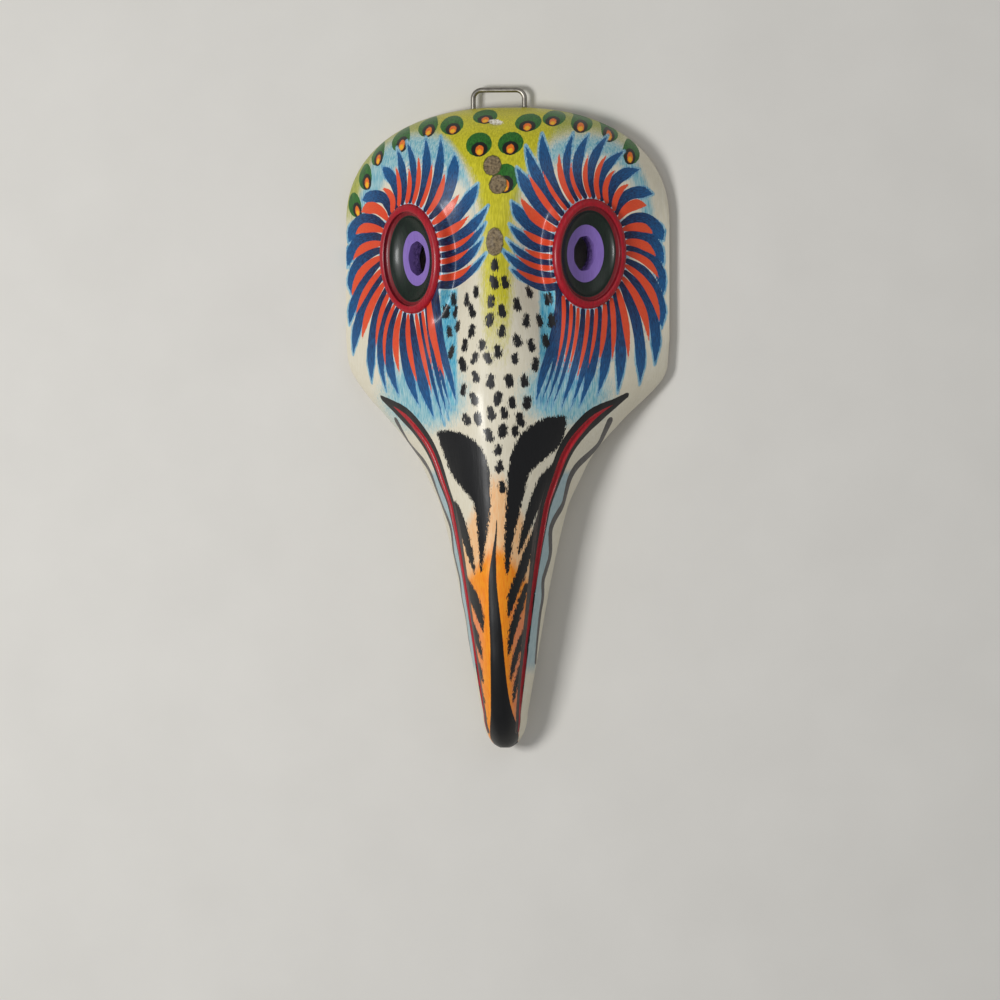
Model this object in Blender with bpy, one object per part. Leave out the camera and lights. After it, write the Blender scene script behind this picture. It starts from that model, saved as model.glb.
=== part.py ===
"""Toucan mask: a hollow carved wooden head with a long solid beak, and a bent wire hanger.

The mask lies on its back rim. +Z points out of the face, +Y runs up to the crown, and +X is to the
right of someone who looks at the face. The origin is below the middle of the whole, on the back plane.
All sizes are in metres.
"""

import bpy
import bmesh
from math import cos, exp, pi, radians, sin, sqrt
from mathutils import Matrix, Vector

# Driving sizes of the carved head
MASK_LENGTH = 0.371         # beak tip to crown
HEAD_WIDTH = 0.189          # across the cheeks
RIDGE_HEIGHT = 0.070        # highest point of the snout above the back plane
CROWN_DEPTH = 0.068         # length over which the head narrows to its crown
CROWN_ROLL = 0.084          # length over which the forehead rolls back to the crown
BEAK_END = 0.0205           # length of the rounded end of the beak

# Walls of the hollow
RIM_WALL = 0.013            # wood left beside the hollow, at the back rim
RIDGE_WALL = 0.016          # wood left over the hollow, under the ridge
CROWN_WALL = 0.014          # wood left between the hollow and the crown
HOLLOW_FOOT = 0.158         # from the beak tip to the lower end of the hollow
HOLLOW_ARCH = 1.05          # how full the hollow's arch is

# Eyes
EYE_OUT = 0.052             # from the middle plane to an eye
EYE_UP_LEFT = 0.2825        # from the beak tip to the middle of the left eye
EYE_UP_RIGHT = 0.2850       # the right eye was carved a little higher
EYE_TURN = radians(37)      # how far each eye looks outwards
EYE_DIP = radians(3.3)      # how far it looks down
RIM_HALF_WIDTH = 0.0215     # of the raised rim, to the middle of its bead
RIM_HALF_HEIGHT = 0.0290
RIM_BEAD = 0.0026           # radius of the bead
BEAD_LIFT = 0.0002          # of the bead's middle over the flat mount
STEP_HALF_WIDTH = 0.0200    # of the shallow step inside the bead
STEP_HALF_HEIGHT = 0.0272
STEP_DEPTH = 0.0022
BOWL_LIFT = 0.0004          # of the widest part of the step and of the dish over the flat mount
DISH_HALF_WIDTH = 0.0178    # of the dish around the pupil
DISH_HALF_HEIGHT = 0.0248
DISH_DEPTH = 0.0062
PUPIL_HALF_WIDTH = 0.0073   # of the hole bored through
PUPIL_HALF_HEIGHT = 0.0103

# Carving of the face
RIDGE_ROUND = 0.11          # of the ridge's rounding, as a share of the half width
MOUNT_HEIGHT = 0.0025       # how far the flat mount of an eye stands out of the face, at its middle
MOUNT_SPREAD = 0.45         # over this share of its size more, the mount runs out into the face
VALLEY_DEPTH = 0.0065       # of the valley between an eye and the ridge
VALLEY_HALF_WIDTH = 0.0105
GROOVE_RADIUS = 0.0024      # of the round chisel that cut the mouth line
GROOVE_LIFT = 0.0009        # of the chisel's middle over the surface
MOUTH_TOP = 0.2030          # from the beak tip to the corner of the mouth
MOUTH_FOOT = 0.0100         # from the beak tip to the mouth line's lower end

# Hanger of bent wire
WIRE = 0.0030
HANGER_WIDTH = 0.0330       # over the wire
HANGER_RISE = 0.0115        # above the crown
HANGER_BEND = 0.0050        # radius of the middle of the wire in a corner
HANGER_X = -0.0050          # the hanger sits a little left of the middle
HANGER_Z = 0.0065           # of the middle of the wire above the back plane
LEG_DEPTH = 0.0095          # of the legs below the crown
CLEARANCE = 0.0003          # between the wire and its sockets

# Shape of the head along its length. The first number of each pair is the share of MASK_LENGTH from
# the beak tip. The second is a share of half the head's width, or of the ridge's height.
HALF_WIDTH = ((0.055, 0.141), (0.373, 0.388), (0.416, 0.462), (0.456, 0.541), (0.509, 0.712),
              (0.550, 0.862), (0.575, 0.935), (0.590, 0.968), (0.606, 0.987), (0.640, 1.000))
RIDGE = ((0.000, 0.440), (0.055, 0.560), (0.096, 0.650), (0.155, 0.740), (0.225, 0.805),
         (0.295, 0.855), (0.373, 0.915), (0.456, 0.965), (0.530, 1.000), (0.600, 0.990), (0.680, 0.960),
         (0.770, 0.930))
EDGE = ((0.000, 0.235), (0.100, 0.265), (0.400, 0.285), (0.456, 0.255), (0.509, 0.195), (0.550, 0.130),
        (0.600, 0.100))
UNDERSIDE = ((0.000, 0.120), (0.100, 0.095), (0.250, 0.045), (0.350, 0.000))
# The sides draw in below the edge, to this share of the width at the back plane.
FOOT_WIDTH = ((0.000, 0.720), (0.300, 0.780), (0.420, 0.860), (0.530, 0.950), (0.620, 0.990))
WAIST_WIDTH = 0.65          # halfway down, this share of the drawing in is left
# Fullness of the section: 1 is a tent, 2 is an ellipse.
FULLNESS = ((0.000, 1.90), (0.055, 1.72), (0.155, 1.55), (0.373, 1.50), (0.456, 1.45), (0.509, 1.38),
            (0.550, 1.28), (0.620, 1.12), (0.700, 1.00), (0.780, 1.02), (0.860, 1.30), (0.930, 1.70),
            (1.000, 2.00))
CHEEK_DROP = 0.012          # the right cheek's corner was carved lower, by this share of the length
CHEEK_PLACE = 0.590         # of the cheeks' corners along the length
CHEEK_SPREAD = 0.035
# Places of the valleys and of the mouth line, as shares of the half width there, or of the full depth.
VALLEY_PLACE = ((0.540, 0.45), (0.630, 0.35), (0.757, 0.250), (0.850, 0.225))
VALLEY_STRENGTH = ((0.520, 0.00), (0.560, 0.45), (0.630, 0.85), (0.757, 1.00), (0.830, 0.60), (0.905, 0.00))
MOUTH_PLACE = ((0.000, 0.780), (0.350, 0.755), (0.470, 0.748), (0.509, 0.776), (0.550, 0.895))
CROWN_FULLNESS = 2.3        # of the crown's outline
END_FULLNESS = 2.0          # of the beak's end, and of the forehead's roll

# How finely the surfaces are divided
STATIONS = 64
STATION_PULL = 0.35         # how much closer the stations stand at both ends
TOP_STEPS = 16              # from the ridge to the edge
FINE_STEPS = 120            # of the section from which the even steps are read
HOLLOW_STATIONS = 20
HOLLOW_STEPS = 10
BEAD_STEPS = 36
DISH_RINGS = 5
DISH_SIDES = 36
PUPIL_SIDES = 24
GROOVE_STEPS = 38
WIRE_BEND_STEPS = 6
SLIVER = 0.00001            # points of a tube's caps that lie closer than this are one point
SAME_POINT = 0.000001       # the same, after the cuts

TIP_Y = -(MASK_LENGTH + HANGER_RISE) / 2
CROWN_Y = TIP_Y + MASK_LENGTH
HALF = HEAD_WIDTH / 2
END_SHARE = BEAK_END / MASK_LENGTH


def clear_scene():
    for obj in list(bpy.data.objects):
        bpy.data.objects.remove(obj)


def new_collection(name):
    made = bpy.data.collections.new(name)
    bpy.context.scene.collection.children.link(made)
    return made


def material(name, colour, roughness, metallic):
    made = bpy.data.materials.new(name)
    made.use_nodes = True
    shader = made.node_tree.nodes["Principled BSDF"]
    shader.inputs["Base Color"].default_value = (*colour, 1.0)
    shader.inputs["Roughness"].default_value = roughness
    shader.inputs["Metallic"].default_value = metallic
    return made


def along(table, share):
    """The value at a share of the length, on a smooth line through the table's points."""
    if share <= table[0][0]:
        return table[0][1]
    if share >= table[-1][0]:
        return table[-1][1]
    slopes = [(b[1] - a[1]) / (b[0] - a[0]) for a, b in zip(table, table[1:])]
    k = max(i for i in range(len(slopes)) if table[i][0] <= share)
    (x0, v0), (x1, v1) = table[k], table[k + 1]
    before = slopes[k - 1] if k > 0 else slopes[k]
    after = slopes[k + 1] if k + 1 < len(slopes) else slopes[k]
    start = joint_slope(before, slopes[k])
    end = joint_slope(slopes[k], after)
    span = x1 - x0
    t = (share - x0) / span
    rise = (2 * t ** 3 - 3 * t ** 2 + 1) * v0 + (3 * t ** 2 - 2 * t ** 3) * v1
    return rise + span * ((t ** 3 - 2 * t ** 2 + t) * start + (t ** 3 - t ** 2) * end)


def joint_slope(a, b):
    """Slope at a point between two runs, so that the line never overshoots."""
    return 0.0 if a * b <= 0 else 2 * a * b / (a + b)


def share_at(y):
    return (y - TIP_Y) / MASK_LENGTH


def half_width(y, side=0):
    """Half the width at y. The two sides differ a little at the corner of the cheek."""
    below_crown = CROWN_Y - y
    if below_crown < CROWN_DEPTH:
        out = max(0.0, 1 - (1 - below_crown / CROWN_DEPTH) ** CROWN_FULLNESS)
        return HALF * out ** (1 / CROWN_FULLNESS)
    share = share_at(y)
    dropped = 0.0
    if side > 0:
        dropped = CHEEK_DROP * exp(-((share - CHEEK_PLACE) / CHEEK_SPREAD) ** 2)
    return HALF * along(HALF_WIDTH, share + dropped) * end_round(y)


def end_round(y):
    """Rounding of the beak's end: 0 at the tip, and 1 where the end joins the beak."""
    share = min(1.0, share_at(y) / END_SHARE)
    return max(0.0, 1 - (1 - share) ** END_FULLNESS) ** (1 / END_FULLNESS)


def edge_height(y):
    return RIDGE_HEIGHT * along(EDGE, share_at(y))


def ridge_height(y):
    edge = edge_height(y)
    height = edge + (RIDGE_HEIGHT * along(RIDGE, share_at(y)) - edge) * end_round(y)
    below_crown = CROWN_Y - y
    if below_crown < CROWN_ROLL:
        rolled = max(0.0, 1 - (1 - below_crown / CROWN_ROLL) ** END_FULLNESS)
        height = edge + (height - edge) * rolled ** (1 / END_FULLNESS)
    return height


def underside(y):
    edge = edge_height(y)
    return edge - (edge - RIDGE_HEIGHT * along(UNDERSIDE, share_at(y))) * end_round(y)


def arch(x, half, fullness):
    """Height of a section, from 1 at the rounded ridge to 0 at the edge."""
    soft = RIDGE_ROUND * half
    out = (sqrt(x * x + soft * soft) - soft) / (sqrt(half * half + soft * soft) - soft)
    inside = max(0.0, 1 - min(1.0, out) ** fullness)
    return inside ** (1 / fullness)


def eye_up(side):
    return TIP_Y + (EYE_UP_RIGHT if side > 0 else EYE_UP_LEFT)


def face(x, y):
    """Height of the face above the back plane, with the valleys beside its ridge and without the eyes."""
    half = max(half_width(y, x), SLIVER)
    edge = edge_height(y)
    share = share_at(y)
    fall = arch(x, half, along(FULLNESS, share))
    away = (abs(x) - half * along(VALLEY_PLACE, share)) / VALLEY_HALF_WIDTH
    valley = VALLEY_DEPTH * along(VALLEY_STRENGTH, share) * exp(-(away ** 2))
    return edge + (ridge_height(y) - edge) * fall - valley


def eye_matrix(side):
    """The eye's own frame: X across it, Y up it, Z out of it."""
    y = eye_up(side)
    x = side * EYE_OUT
    place = Matrix.Translation((x, y, face(x, y) + MOUNT_HEIGHT))
    return place @ Matrix.Rotation(side * EYE_TURN, 4, "Y") @ Matrix.Rotation(EYE_DIP, 4, "X")


def front(x, y):
    """Height of the carved front above the back plane: the face, with the flat mounts of the eyes."""
    height = face(x, y)
    frame = EYE_FRAMES[1 if x > 0 else -1]
    across, up, out = (frame.col[k].xyz for k in range(3))
    centre = frame.translation
    flat = centre.z - (out.x * (x - centre.x) + out.y * (y - centre.y)) / out.z
    away = Vector((x, y, flat)) - centre
    reach = Vector((away.dot(across) / (RIM_HALF_WIDTH + RIM_BEAD), away.dot(up) / (RIM_HALF_HEIGHT + RIM_BEAD)))
    t = min(1.0, max(0.0, (1 + MOUNT_SPREAD - reach.length) / MOUNT_SPREAD))
    return height + (flat - height) * t * t * (3 - 2 * t)


EYE_FRAMES = {side: eye_matrix(side) for side in (-1, 1)}


def even_steps(points, steps):
    """Points at equal distances along a line through many points."""
    lengths = [0.0]
    for a, b in zip(points, points[1:]):
        lengths.append(lengths[-1] + (b - a).length)
    made = []
    k = 0
    for step in range(steps + 1):
        wanted = lengths[-1] * step / steps
        while k < len(points) - 2 and lengths[k + 1] < wanted:
            k += 1
        gap = lengths[k + 1] - lengths[k]
        made.append(points[k].lerp(points[k + 1], min(1.0, (wanted - lengths[k]) / gap)))
    return made


def section(y):
    """The closed outline of the carved body at y, from the right foot over the ridge to the left foot."""
    bottom = underside(y)
    waist_height = (edge_height(y) + bottom) / 2
    lower = {}
    upper = {}
    for side in (1, -1):
        half = half_width(y, side)
        foot = half * along(FOOT_WIDTH, share_at(y))
        waist = foot + (half - foot) * WAIST_WIDTH
        lower[side] = [Vector((side * foot, y, bottom)), Vector((side * waist, y, waist_height))]
        fine = []
        for k in range(FINE_STEPS + 1):
            x = side * half * sin(pi / 2 * k / FINE_STEPS) ** 1.5
            fine.append(Vector((x, y, front(x, y))))
        upper[side] = even_steps(fine, TOP_STEPS)
    return lower[1] + upper[1][:0:-1] + upper[-1] + lower[-1][::-1]


def loft(name, rings, collection):
    """A closed body through rings of as many points each, with flat ends."""
    mesh = bmesh.new()
    rows = [[mesh.verts.new(point) for point in ring] for ring in rings]
    count = len(rows[0])
    for row, above in zip(rows, rows[1:]):
        for k in range(count):
            after = (k + 1) % count
            mesh.faces.new((row[k], row[after], above[after], above[k]))
    mesh.faces.new(rows[0][::-1])
    mesh.faces.new(rows[-1])
    bmesh.ops.recalc_face_normals(mesh, faces=mesh.faces)
    return finish_mesh(name, mesh, collection)


def finish_mesh(name, mesh, collection):
    data = bpy.data.meshes.new(name)
    mesh.to_mesh(data)
    mesh.free()
    obj = bpy.data.objects.new(name, data)
    collection.objects.link(obj)
    return obj


def tube(name, points, radii, collection, closed=False, resolution=2):
    """A tube of a given radius at each point, as a closed mesh."""
    curve = bpy.data.curves.new(name, "CURVE")
    curve.dimensions = "3D"
    curve.bevel_depth = 1.0
    curve.bevel_resolution = resolution
    curve.use_fill_caps = not closed
    line = curve.splines.new("POLY")
    line.points.add(len(points) - 1)
    line.use_cyclic_u = closed
    for spot, point, radius in zip(line.points, points, radii):
        spot.co = (*point, 1.0)
        spot.radius = radius
    bent = bpy.data.objects.new(name + "_curve", curve)
    collection.objects.link(bent)
    bpy.context.view_layer.update()
    data = bpy.data.meshes.new_from_object(bent.evaluated_get(bpy.context.evaluated_depsgraph_get()))
    mesh = bmesh.new()
    mesh.from_mesh(data)
    bmesh.ops.remove_doubles(mesh, verts=mesh.verts, dist=SLIVER)
    bmesh.ops.recalc_face_normals(mesh, faces=mesh.faces)
    place = bent.matrix_world.copy()
    bpy.data.objects.remove(bent)
    obj = finish_mesh(name, mesh, collection)
    obj.matrix_world = place
    return obj


def as_cutter(obj):
    obj.hide_render = True
    obj.display_type = "WIRE"
    return obj


def combine(body, other, operation):
    """Adds the other solid to the body, or cuts it away."""
    step = body.modifiers.new(other.name, "BOOLEAN")
    step.operation = operation
    # The exact solver leaves edges shared by three faces where a bowl meets a bead at some sizes
    step.solver = "MANIFOLD"
    step.object = other
    as_cutter(other)


def rim_bead(side, collection):
    """The raised bead around an eye, half sunk in the wood all the way round."""
    points = []
    for k in range(BEAD_STEPS):
        turn = 2 * pi * k / BEAD_STEPS
        spot = Vector((RIM_HALF_WIDTH * cos(turn), RIM_HALF_HEIGHT * sin(turn), BEAD_LIFT))
        points.append(EYE_FRAMES[side] @ spot)
    name = "bead_right" if side > 0 else "bead_left"
    return tube(name, points, [RIM_BEAD] * BEAD_STEPS, collection, closed=True)


def bowl(name, side, half_across, half_up, depth, collection):
    """A cutter that leaves an egg-shaped dish of the given depth, with straight walls above it."""
    levels = []
    for step in range(1, DISH_RINGS + 1):
        tilt = pi / 2 * step / DISH_RINGS
        levels.append((sin(tilt), BOWL_LIFT - (depth + BOWL_LIFT) * cos(tilt)))
    levels.append((1.0, BOWL_LIFT + 2 * RIM_BEAD))
    rings = []
    for share, height in levels:
        ring = []
        for k in range(DISH_SIDES):
            turn = 2 * pi * k / DISH_SIDES
            spot = Vector((half_across * share * cos(turn), half_up * share * sin(turn), height))
            ring.append(EYE_FRAMES[side] @ spot)
        rings.append(ring)
    return loft(name, rings, collection)


def pupil_bore(side, collection):
    """An oval rod, square to the eye, that passes right through the wall."""
    mesh = bmesh.new()
    bmesh.ops.create_cone(mesh, cap_ends=True, segments=PUPIL_SIDES, radius1=1.0, radius2=1.0, depth=1.0)
    reach = RIDGE_HEIGHT
    stretch = Matrix.Diagonal((PUPIL_HALF_WIDTH, PUPIL_HALF_HEIGHT, reach, 1.0))
    bmesh.ops.transform(mesh, matrix=EYE_FRAMES[side] @ stretch, verts=mesh.verts)
    return finish_mesh("pupil_right" if side > 0 else "pupil_left", mesh, collection)


def mouth_groove(side, collection):
    """The chisel's path along one side of the beak, fine at both ends."""
    points = []
    radii = []
    for k in range(GROOVE_STEPS + 1):
        t = k / GROOVE_STEPS
        y = TIP_Y + MOUTH_TOP + (MOUTH_FOOT - MOUTH_TOP) * t
        x = side * half_width(y, side) * along(MOUTH_PLACE, share_at(y))
        fine = min(1.0, 0.25 + 6 * t, 0.25 + 5 * (1 - t))
        points.append(Vector((x, y, front(x, y))) + out_of_wood(x, y) * GROOVE_LIFT)
        radii.append(GROOVE_RADIUS * fine)
    return tube("mouth_right" if side > 0 else "mouth_left", points, radii, collection)


def out_of_wood(x, y):
    """Direction straight out of the front surface."""
    small = 0.0005
    across = (front(x + small, y) - front(x - small, y)) / (2 * small)
    upward = (front(x, y + small) - front(x, y - small)) / (2 * small)
    return Vector((-across, -upward, 1.0)).normalized()


def hollow(collection):
    """The space behind the face, which the rim and the face's wall leave free."""
    foot = TIP_Y + HOLLOW_FOOT
    head = CROWN_Y - CROWN_WALL
    rings = []
    for k in range(HOLLOW_STATIONS + 1):
        turn = pi * (0.03 + 0.94 * k / HOLLOW_STATIONS)
        y = foot + (head - foot) * (1 - cos(turn)) / 2
        round_off = sqrt(sin(turn))
        share = share_at(y)
        wide = half_width(y) * along(FOOT_WIDTH, share) - RIM_WALL
        half = min(wide, wide * round_off * 1.25)
        high = (ridge_height(y) - RIDGE_WALL) * min(1.0, round_off * 1.15)
        ring = [Vector((half, y, -RIM_WALL))]
        for step in range(-HOLLOW_STEPS, HOLLOW_STEPS + 1):
            x = -half * sin(pi / 2 * step / HOLLOW_STEPS)
            ring.append(Vector((x, y, high * arch(x, half, HOLLOW_ARCH))))
        ring.append(Vector((-half, y, -RIM_WALL)))
        rings.append(ring)
    return loft("hollow", rings, collection)


def socket_rod(side, collection):
    """A rod a little thicker than the wire, for one leg of the hanger."""
    mesh = bmesh.new()
    bmesh.ops.create_cone(mesh, cap_ends=True, segments=PUPIL_SIDES // 2, radius1=WIRE / 2 + CLEARANCE,
                          radius2=WIRE / 2 + CLEARANCE, depth=2 * (LEG_DEPTH + CLEARANCE))
    bmesh.ops.rotate(mesh, matrix=Matrix.Rotation(pi / 2, 3, "X"), verts=mesh.verts)
    bmesh.ops.translate(mesh, vec=(hanger_leg_x(side), CROWN_Y, HANGER_Z), verts=mesh.verts)
    return finish_mesh("socket_right" if side > 0 else "socket_left", mesh, collection)


def hanger_leg_x(side):
    return HANGER_X + side * (HANGER_WIDTH - WIRE) / 2


def carve_mask(parts, cutters, wood):
    ends = 0.0012
    rings = []
    for k in range(STATIONS + 1):
        t = k / STATIONS
        share = ends + (1 - 2 * ends) * (t - STATION_PULL * sin(2 * pi * t) / (2 * pi))
        rings.append(section(TIP_Y + share * MASK_LENGTH))
    mask = loft("mask", rings, parts)
    for side in (-1, 1):
        word = "right" if side > 0 else "left"
        combine(mask, rim_bead(side, cutters), "UNION")
        step = bowl("step_" + word, side, STEP_HALF_WIDTH, STEP_HALF_HEIGHT, STEP_DEPTH, cutters)
        combine(mask, step, "DIFFERENCE")
        dish = bowl("dish_" + word, side, DISH_HALF_WIDTH, DISH_HALF_HEIGHT, DISH_DEPTH, cutters)
        combine(mask, dish, "DIFFERENCE")
        combine(mask, mouth_groove(side, cutters), "DIFFERENCE")
        combine(mask, socket_rod(side, cutters), "DIFFERENCE")
    combine(mask, hollow(cutters), "DIFFERENCE")
    for side in (-1, 1):
        combine(mask, pupil_bore(side, cutters), "DIFFERENCE")
    joined = mask.modifiers.new("join_slivers", "WELD")
    joined.merge_threshold = SAME_POINT
    mask.data.materials.append(wood)
    return mask


def bend_hanger(parts, steel):
    """A flat-topped staple of round wire, its two legs in the crown."""
    reach = (HANGER_WIDTH - WIRE) / 2
    top = CROWN_Y + HANGER_RISE - WIRE / 2
    foot = CROWN_Y - LEG_DEPTH
    points = [Vector((HANGER_X - reach, foot, HANGER_Z))]
    for side in (-1, 1):
        centre = Vector((HANGER_X + side * (reach - HANGER_BEND), top - HANGER_BEND, HANGER_Z))
        for k in range(WIRE_BEND_STEPS + 1):
            part = k / WIRE_BEND_STEPS if side > 0 else 1 - k / WIRE_BEND_STEPS
            turn = pi / 2 * (1 - part)
            points.append(centre + Vector((side * HANGER_BEND * cos(turn), HANGER_BEND * sin(turn), 0.0)))
    points.append(Vector((HANGER_X + reach, foot, HANGER_Z)))
    wire = tube("hanger", points, [WIRE / 2] * len(points), parts, resolution=3)
    wire.data.materials.append(steel)
    wire.data.shade_smooth()
    return wire


def main():
    clear_scene()
    parts = new_collection("toucan_mask")
    cutters = new_collection("cutters")
    painted_wood = material("painted_carved_wood", (0.80, 0.75, 0.62), 0.35, 0.0)
    steel = material("steel_wire", (0.56, 0.55, 0.52), 0.30, 1.0)
    carve_mask(parts, cutters, painted_wood)
    bend_hanger(parts, steel)


main()
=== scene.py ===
import bmesh
import bpy
import numpy as np
from math import cos, pi, radians, sin, sqrt
from mathutils import Matrix, Vector
from mathutils.kdtree import KDTree


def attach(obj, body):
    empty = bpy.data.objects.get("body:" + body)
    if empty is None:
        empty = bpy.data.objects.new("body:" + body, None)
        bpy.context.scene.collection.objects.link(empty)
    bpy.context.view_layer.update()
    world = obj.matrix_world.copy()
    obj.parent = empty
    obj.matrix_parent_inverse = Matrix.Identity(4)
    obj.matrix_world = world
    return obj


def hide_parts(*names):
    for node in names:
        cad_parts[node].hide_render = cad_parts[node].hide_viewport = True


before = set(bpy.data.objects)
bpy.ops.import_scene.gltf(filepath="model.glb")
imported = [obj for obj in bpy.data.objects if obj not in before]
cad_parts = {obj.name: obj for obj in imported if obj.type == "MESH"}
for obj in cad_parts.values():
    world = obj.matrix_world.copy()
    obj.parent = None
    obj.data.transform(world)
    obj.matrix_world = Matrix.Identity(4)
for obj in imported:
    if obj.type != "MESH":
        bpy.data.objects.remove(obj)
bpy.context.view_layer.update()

# The mask lies on its back rim in the frame of the solids: +Z out of the face, +Y up to the crown.
# Lengths are in metres. MM turns the millimetres of a brush stroke or a tool mark into metres.
MM = 0.001

# Sizes of the carved head, as the solid has them
MASK_LENGTH = 0.371
HEAD_WIDTH = 0.189
RIDGE_HEIGHT = 0.070
CROWN_DEPTH = 0.068
CROWN_ROLL = 0.084
BEAK_END = 0.0205
RIM_WALL = 0.013
RIDGE_WALL = 0.016
CROWN_WALL = 0.014
HOLLOW_FOOT = 0.158
HOLLOW_ARCH = 1.05
EYE_OUT = 0.052
EYE_UP_LEFT = 0.2825
EYE_UP_RIGHT = 0.2850
EYE_TURN = radians(37)
EYE_DIP = radians(3.3)
RIM_HALF_WIDTH = 0.0215
RIM_HALF_HEIGHT = 0.0290
RIM_BEAD = 0.0026
STEP_HALF_WIDTH = 0.0200
STEP_HALF_HEIGHT = 0.0272
STEP_DEPTH = 0.0022
DISH_HALF_WIDTH = 0.0178
DISH_HALF_HEIGHT = 0.0248
DISH_DEPTH = 0.0062
PUPIL_HALF_WIDTH = 0.0073
PUPIL_HALF_HEIGHT = 0.0103
RIDGE_ROUND = 0.11
MOUNT_HEIGHT = 0.0025
MOUNT_SPREAD = 0.45
VALLEY_DEPTH = 0.0065
VALLEY_HALF_WIDTH = 0.0105
GROOVE_RADIUS = 0.0024
GROOVE_LIFT = 0.0009
MOUTH_TOP = 0.2030
MOUTH_FOOT = 0.0100
WIRE = 0.0030
HANGER_WIDTH = 0.0330
HANGER_RISE = 0.0115
HANGER_BEND = 0.0050
HANGER_X = -0.0050
HANGER_Z = 0.0065
LEG_DEPTH = 0.0095
CLEARANCE = 0.0003

# Shares of the length from the beak tip, each with its share of the half width or the ridge's height
HALF_WIDTH = ((0.055, 0.141), (0.373, 0.388), (0.416, 0.462), (0.456, 0.541), (0.509, 0.712),
              (0.550, 0.862), (0.575, 0.935), (0.590, 0.968), (0.606, 0.987), (0.640, 1.000))
RIDGE = ((0.000, 0.440), (0.055, 0.560), (0.096, 0.650), (0.155, 0.740), (0.225, 0.805),
         (0.295, 0.855), (0.373, 0.915), (0.456, 0.965), (0.530, 1.000), (0.600, 0.990), (0.680, 0.960),
         (0.770, 0.930))
EDGE = ((0.000, 0.235), (0.100, 0.265), (0.400, 0.285), (0.456, 0.255), (0.509, 0.195), (0.550, 0.130),
        (0.600, 0.100))
UNDERSIDE = ((0.000, 0.120), (0.100, 0.095), (0.250, 0.045), (0.350, 0.000))
FOOT_WIDTH = ((0.000, 0.720), (0.300, 0.780), (0.420, 0.860), (0.530, 0.950), (0.620, 0.990))
WAIST_WIDTH = 0.65
FULLNESS = ((0.000, 1.90), (0.055, 1.72), (0.155, 1.55), (0.373, 1.50), (0.456, 1.45), (0.509, 1.38),
            (0.550, 1.28), (0.620, 1.12), (0.700, 1.00), (0.780, 1.02), (0.860, 1.30), (0.930, 1.70),
            (1.000, 2.00))
CHEEK_DROP = 0.012
CHEEK_PLACE = 0.590
CHEEK_SPREAD = 0.035
VALLEY_PLACE = ((0.540, 0.45), (0.630, 0.35), (0.757, 0.250), (0.850, 0.225))
VALLEY_STRENGTH = ((0.520, 0.00), (0.560, 0.45), (0.630, 0.85), (0.757, 1.00), (0.830, 0.60), (0.905, 0.00))
MOUTH_PLACE = ((0.000, 0.780), (0.350, 0.755), (0.470, 0.748), (0.509, 0.776), (0.550, 0.895))
CROWN_FULLNESS = 2.3
END_FULLNESS = 2.0
END_SHARE = BEAK_END / MASK_LENGTH
FLAT_END = 0.0012           # share of the length that the small flat at each end leaves out

TIP_Y = -(MASK_LENGTH + HANGER_RISE) / 2
CROWN_Y = TIP_Y + MASK_LENGTH
HALF = HEAD_WIDTH / 2
SIDES = (-1, 1)

# The photograph's camera, turned a little to the mask's right-hand side
CAMERA_YAW = radians(8)
CAMERA_DISTANCE = 5.0
PHOTO_SIDE_PX = 1000
MM_PER_PX = 0.58            # at the back plane
MIDDLE_PX = 509             # column of the middle plane, where it meets the back plane
AIM_PX = 500                # the camera looks at the middle of the frame
MID_LENGTH_PX = 417.7       # row of the middle of the object's length
SENSOR = 0.036
# Where each light stands, how wide it is (m) and its power (W)
LIGHTS = (("window", (-0.72, -0.10, 1.35), 0.38, 13.4), ("fill", (0.7, 0.9, 1.2), 1.2, 2.6))
ROOM_LIGHT = 0.36           # strength of the even light of the room
FLOOR_REACH = 4.0
FLOOR_DROP = -0.0003

# How finely the visible wood is divided, and how unevenly a knife left it
ROWS = 350
COLUMNS = 116               # from the ridge to each edge
FINE_STEPS = 400            # places tried for one row of the grid, and for the rows themselves
ROW_TRIALS = 8000
FEATHER_STEP = 0.62         # step between rows in the feathers, as a share of the step elsewhere
FEATHER_SHARES = (0.46, 0.95)
WAVE_CELL_MM = 13.0
WAVE_MM = 0.45
CUT_CELL_MM = (5.0, 24.0)   # one pull of the knife, across and along
CUT_MM = 0.16
BEAD_LIFT = 0.0002
BOWL_LIFT = 0.0004
BEAD_TURNS = 144
BEAD_SIDES = 20
BOWL_TURNS = 96
BOWL_RINGS = 22
HANGER_STEPS = 14
HANGER_SIDES = 24
GROOVE_STEPS = 150
GROOVE_SIDES = 16
HOLLOW_STATIONS = 60
HOLLOW_STEPS = 36
CHISEL_MM = 0.5             # how far the gouge wandered inside the hollow
DENT_SOFT = 0.4             # share of a dent over which its side slopes
HAIR = 0.00001              # keeps the wire's facets inside its true size
NIL_MM = 0.000001           # an edge this short or this level is passed over
SHORTEST_MM = 0.001
STROKE_REACH_MM = 3         # how far beyond its edge a paint's depth is still measured
PATCH_REACH_MM = 4
LEAST_HALF = 0.00001        # keeps the two ends from a width of nothing
LATTICE = 160               # cells a side in the pattern of uneven ground
FINE_EDGE = 1.5             # how much closer the front's points lie at the ridge
CUT_SLANT = 0.15            # mm aside for each mm up
CALM_ROWS = 6               # rows at each end over which the knife marks fade
CALM_COLUMNS = 5            # and columns at each edge
BORE_WOBBLE = 0.035         # how far out of round the pupils are
GROOVE_FINEST = 0.25        # share of its radius that the mouth's groove has at its ends
GROOVE_GROWTH = (6, 5)      # how fast it grows from the upper end and from the lower one
HOLLOW_TURN = (0.03, 0.94)  # where the hollow's first station lies on a half turn, and how far they go
HOLLOW_WIDE_END = 1.25      # how soon the hollow reaches its full width and its full height
HOLLOW_HIGH_END = 1.15
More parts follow.
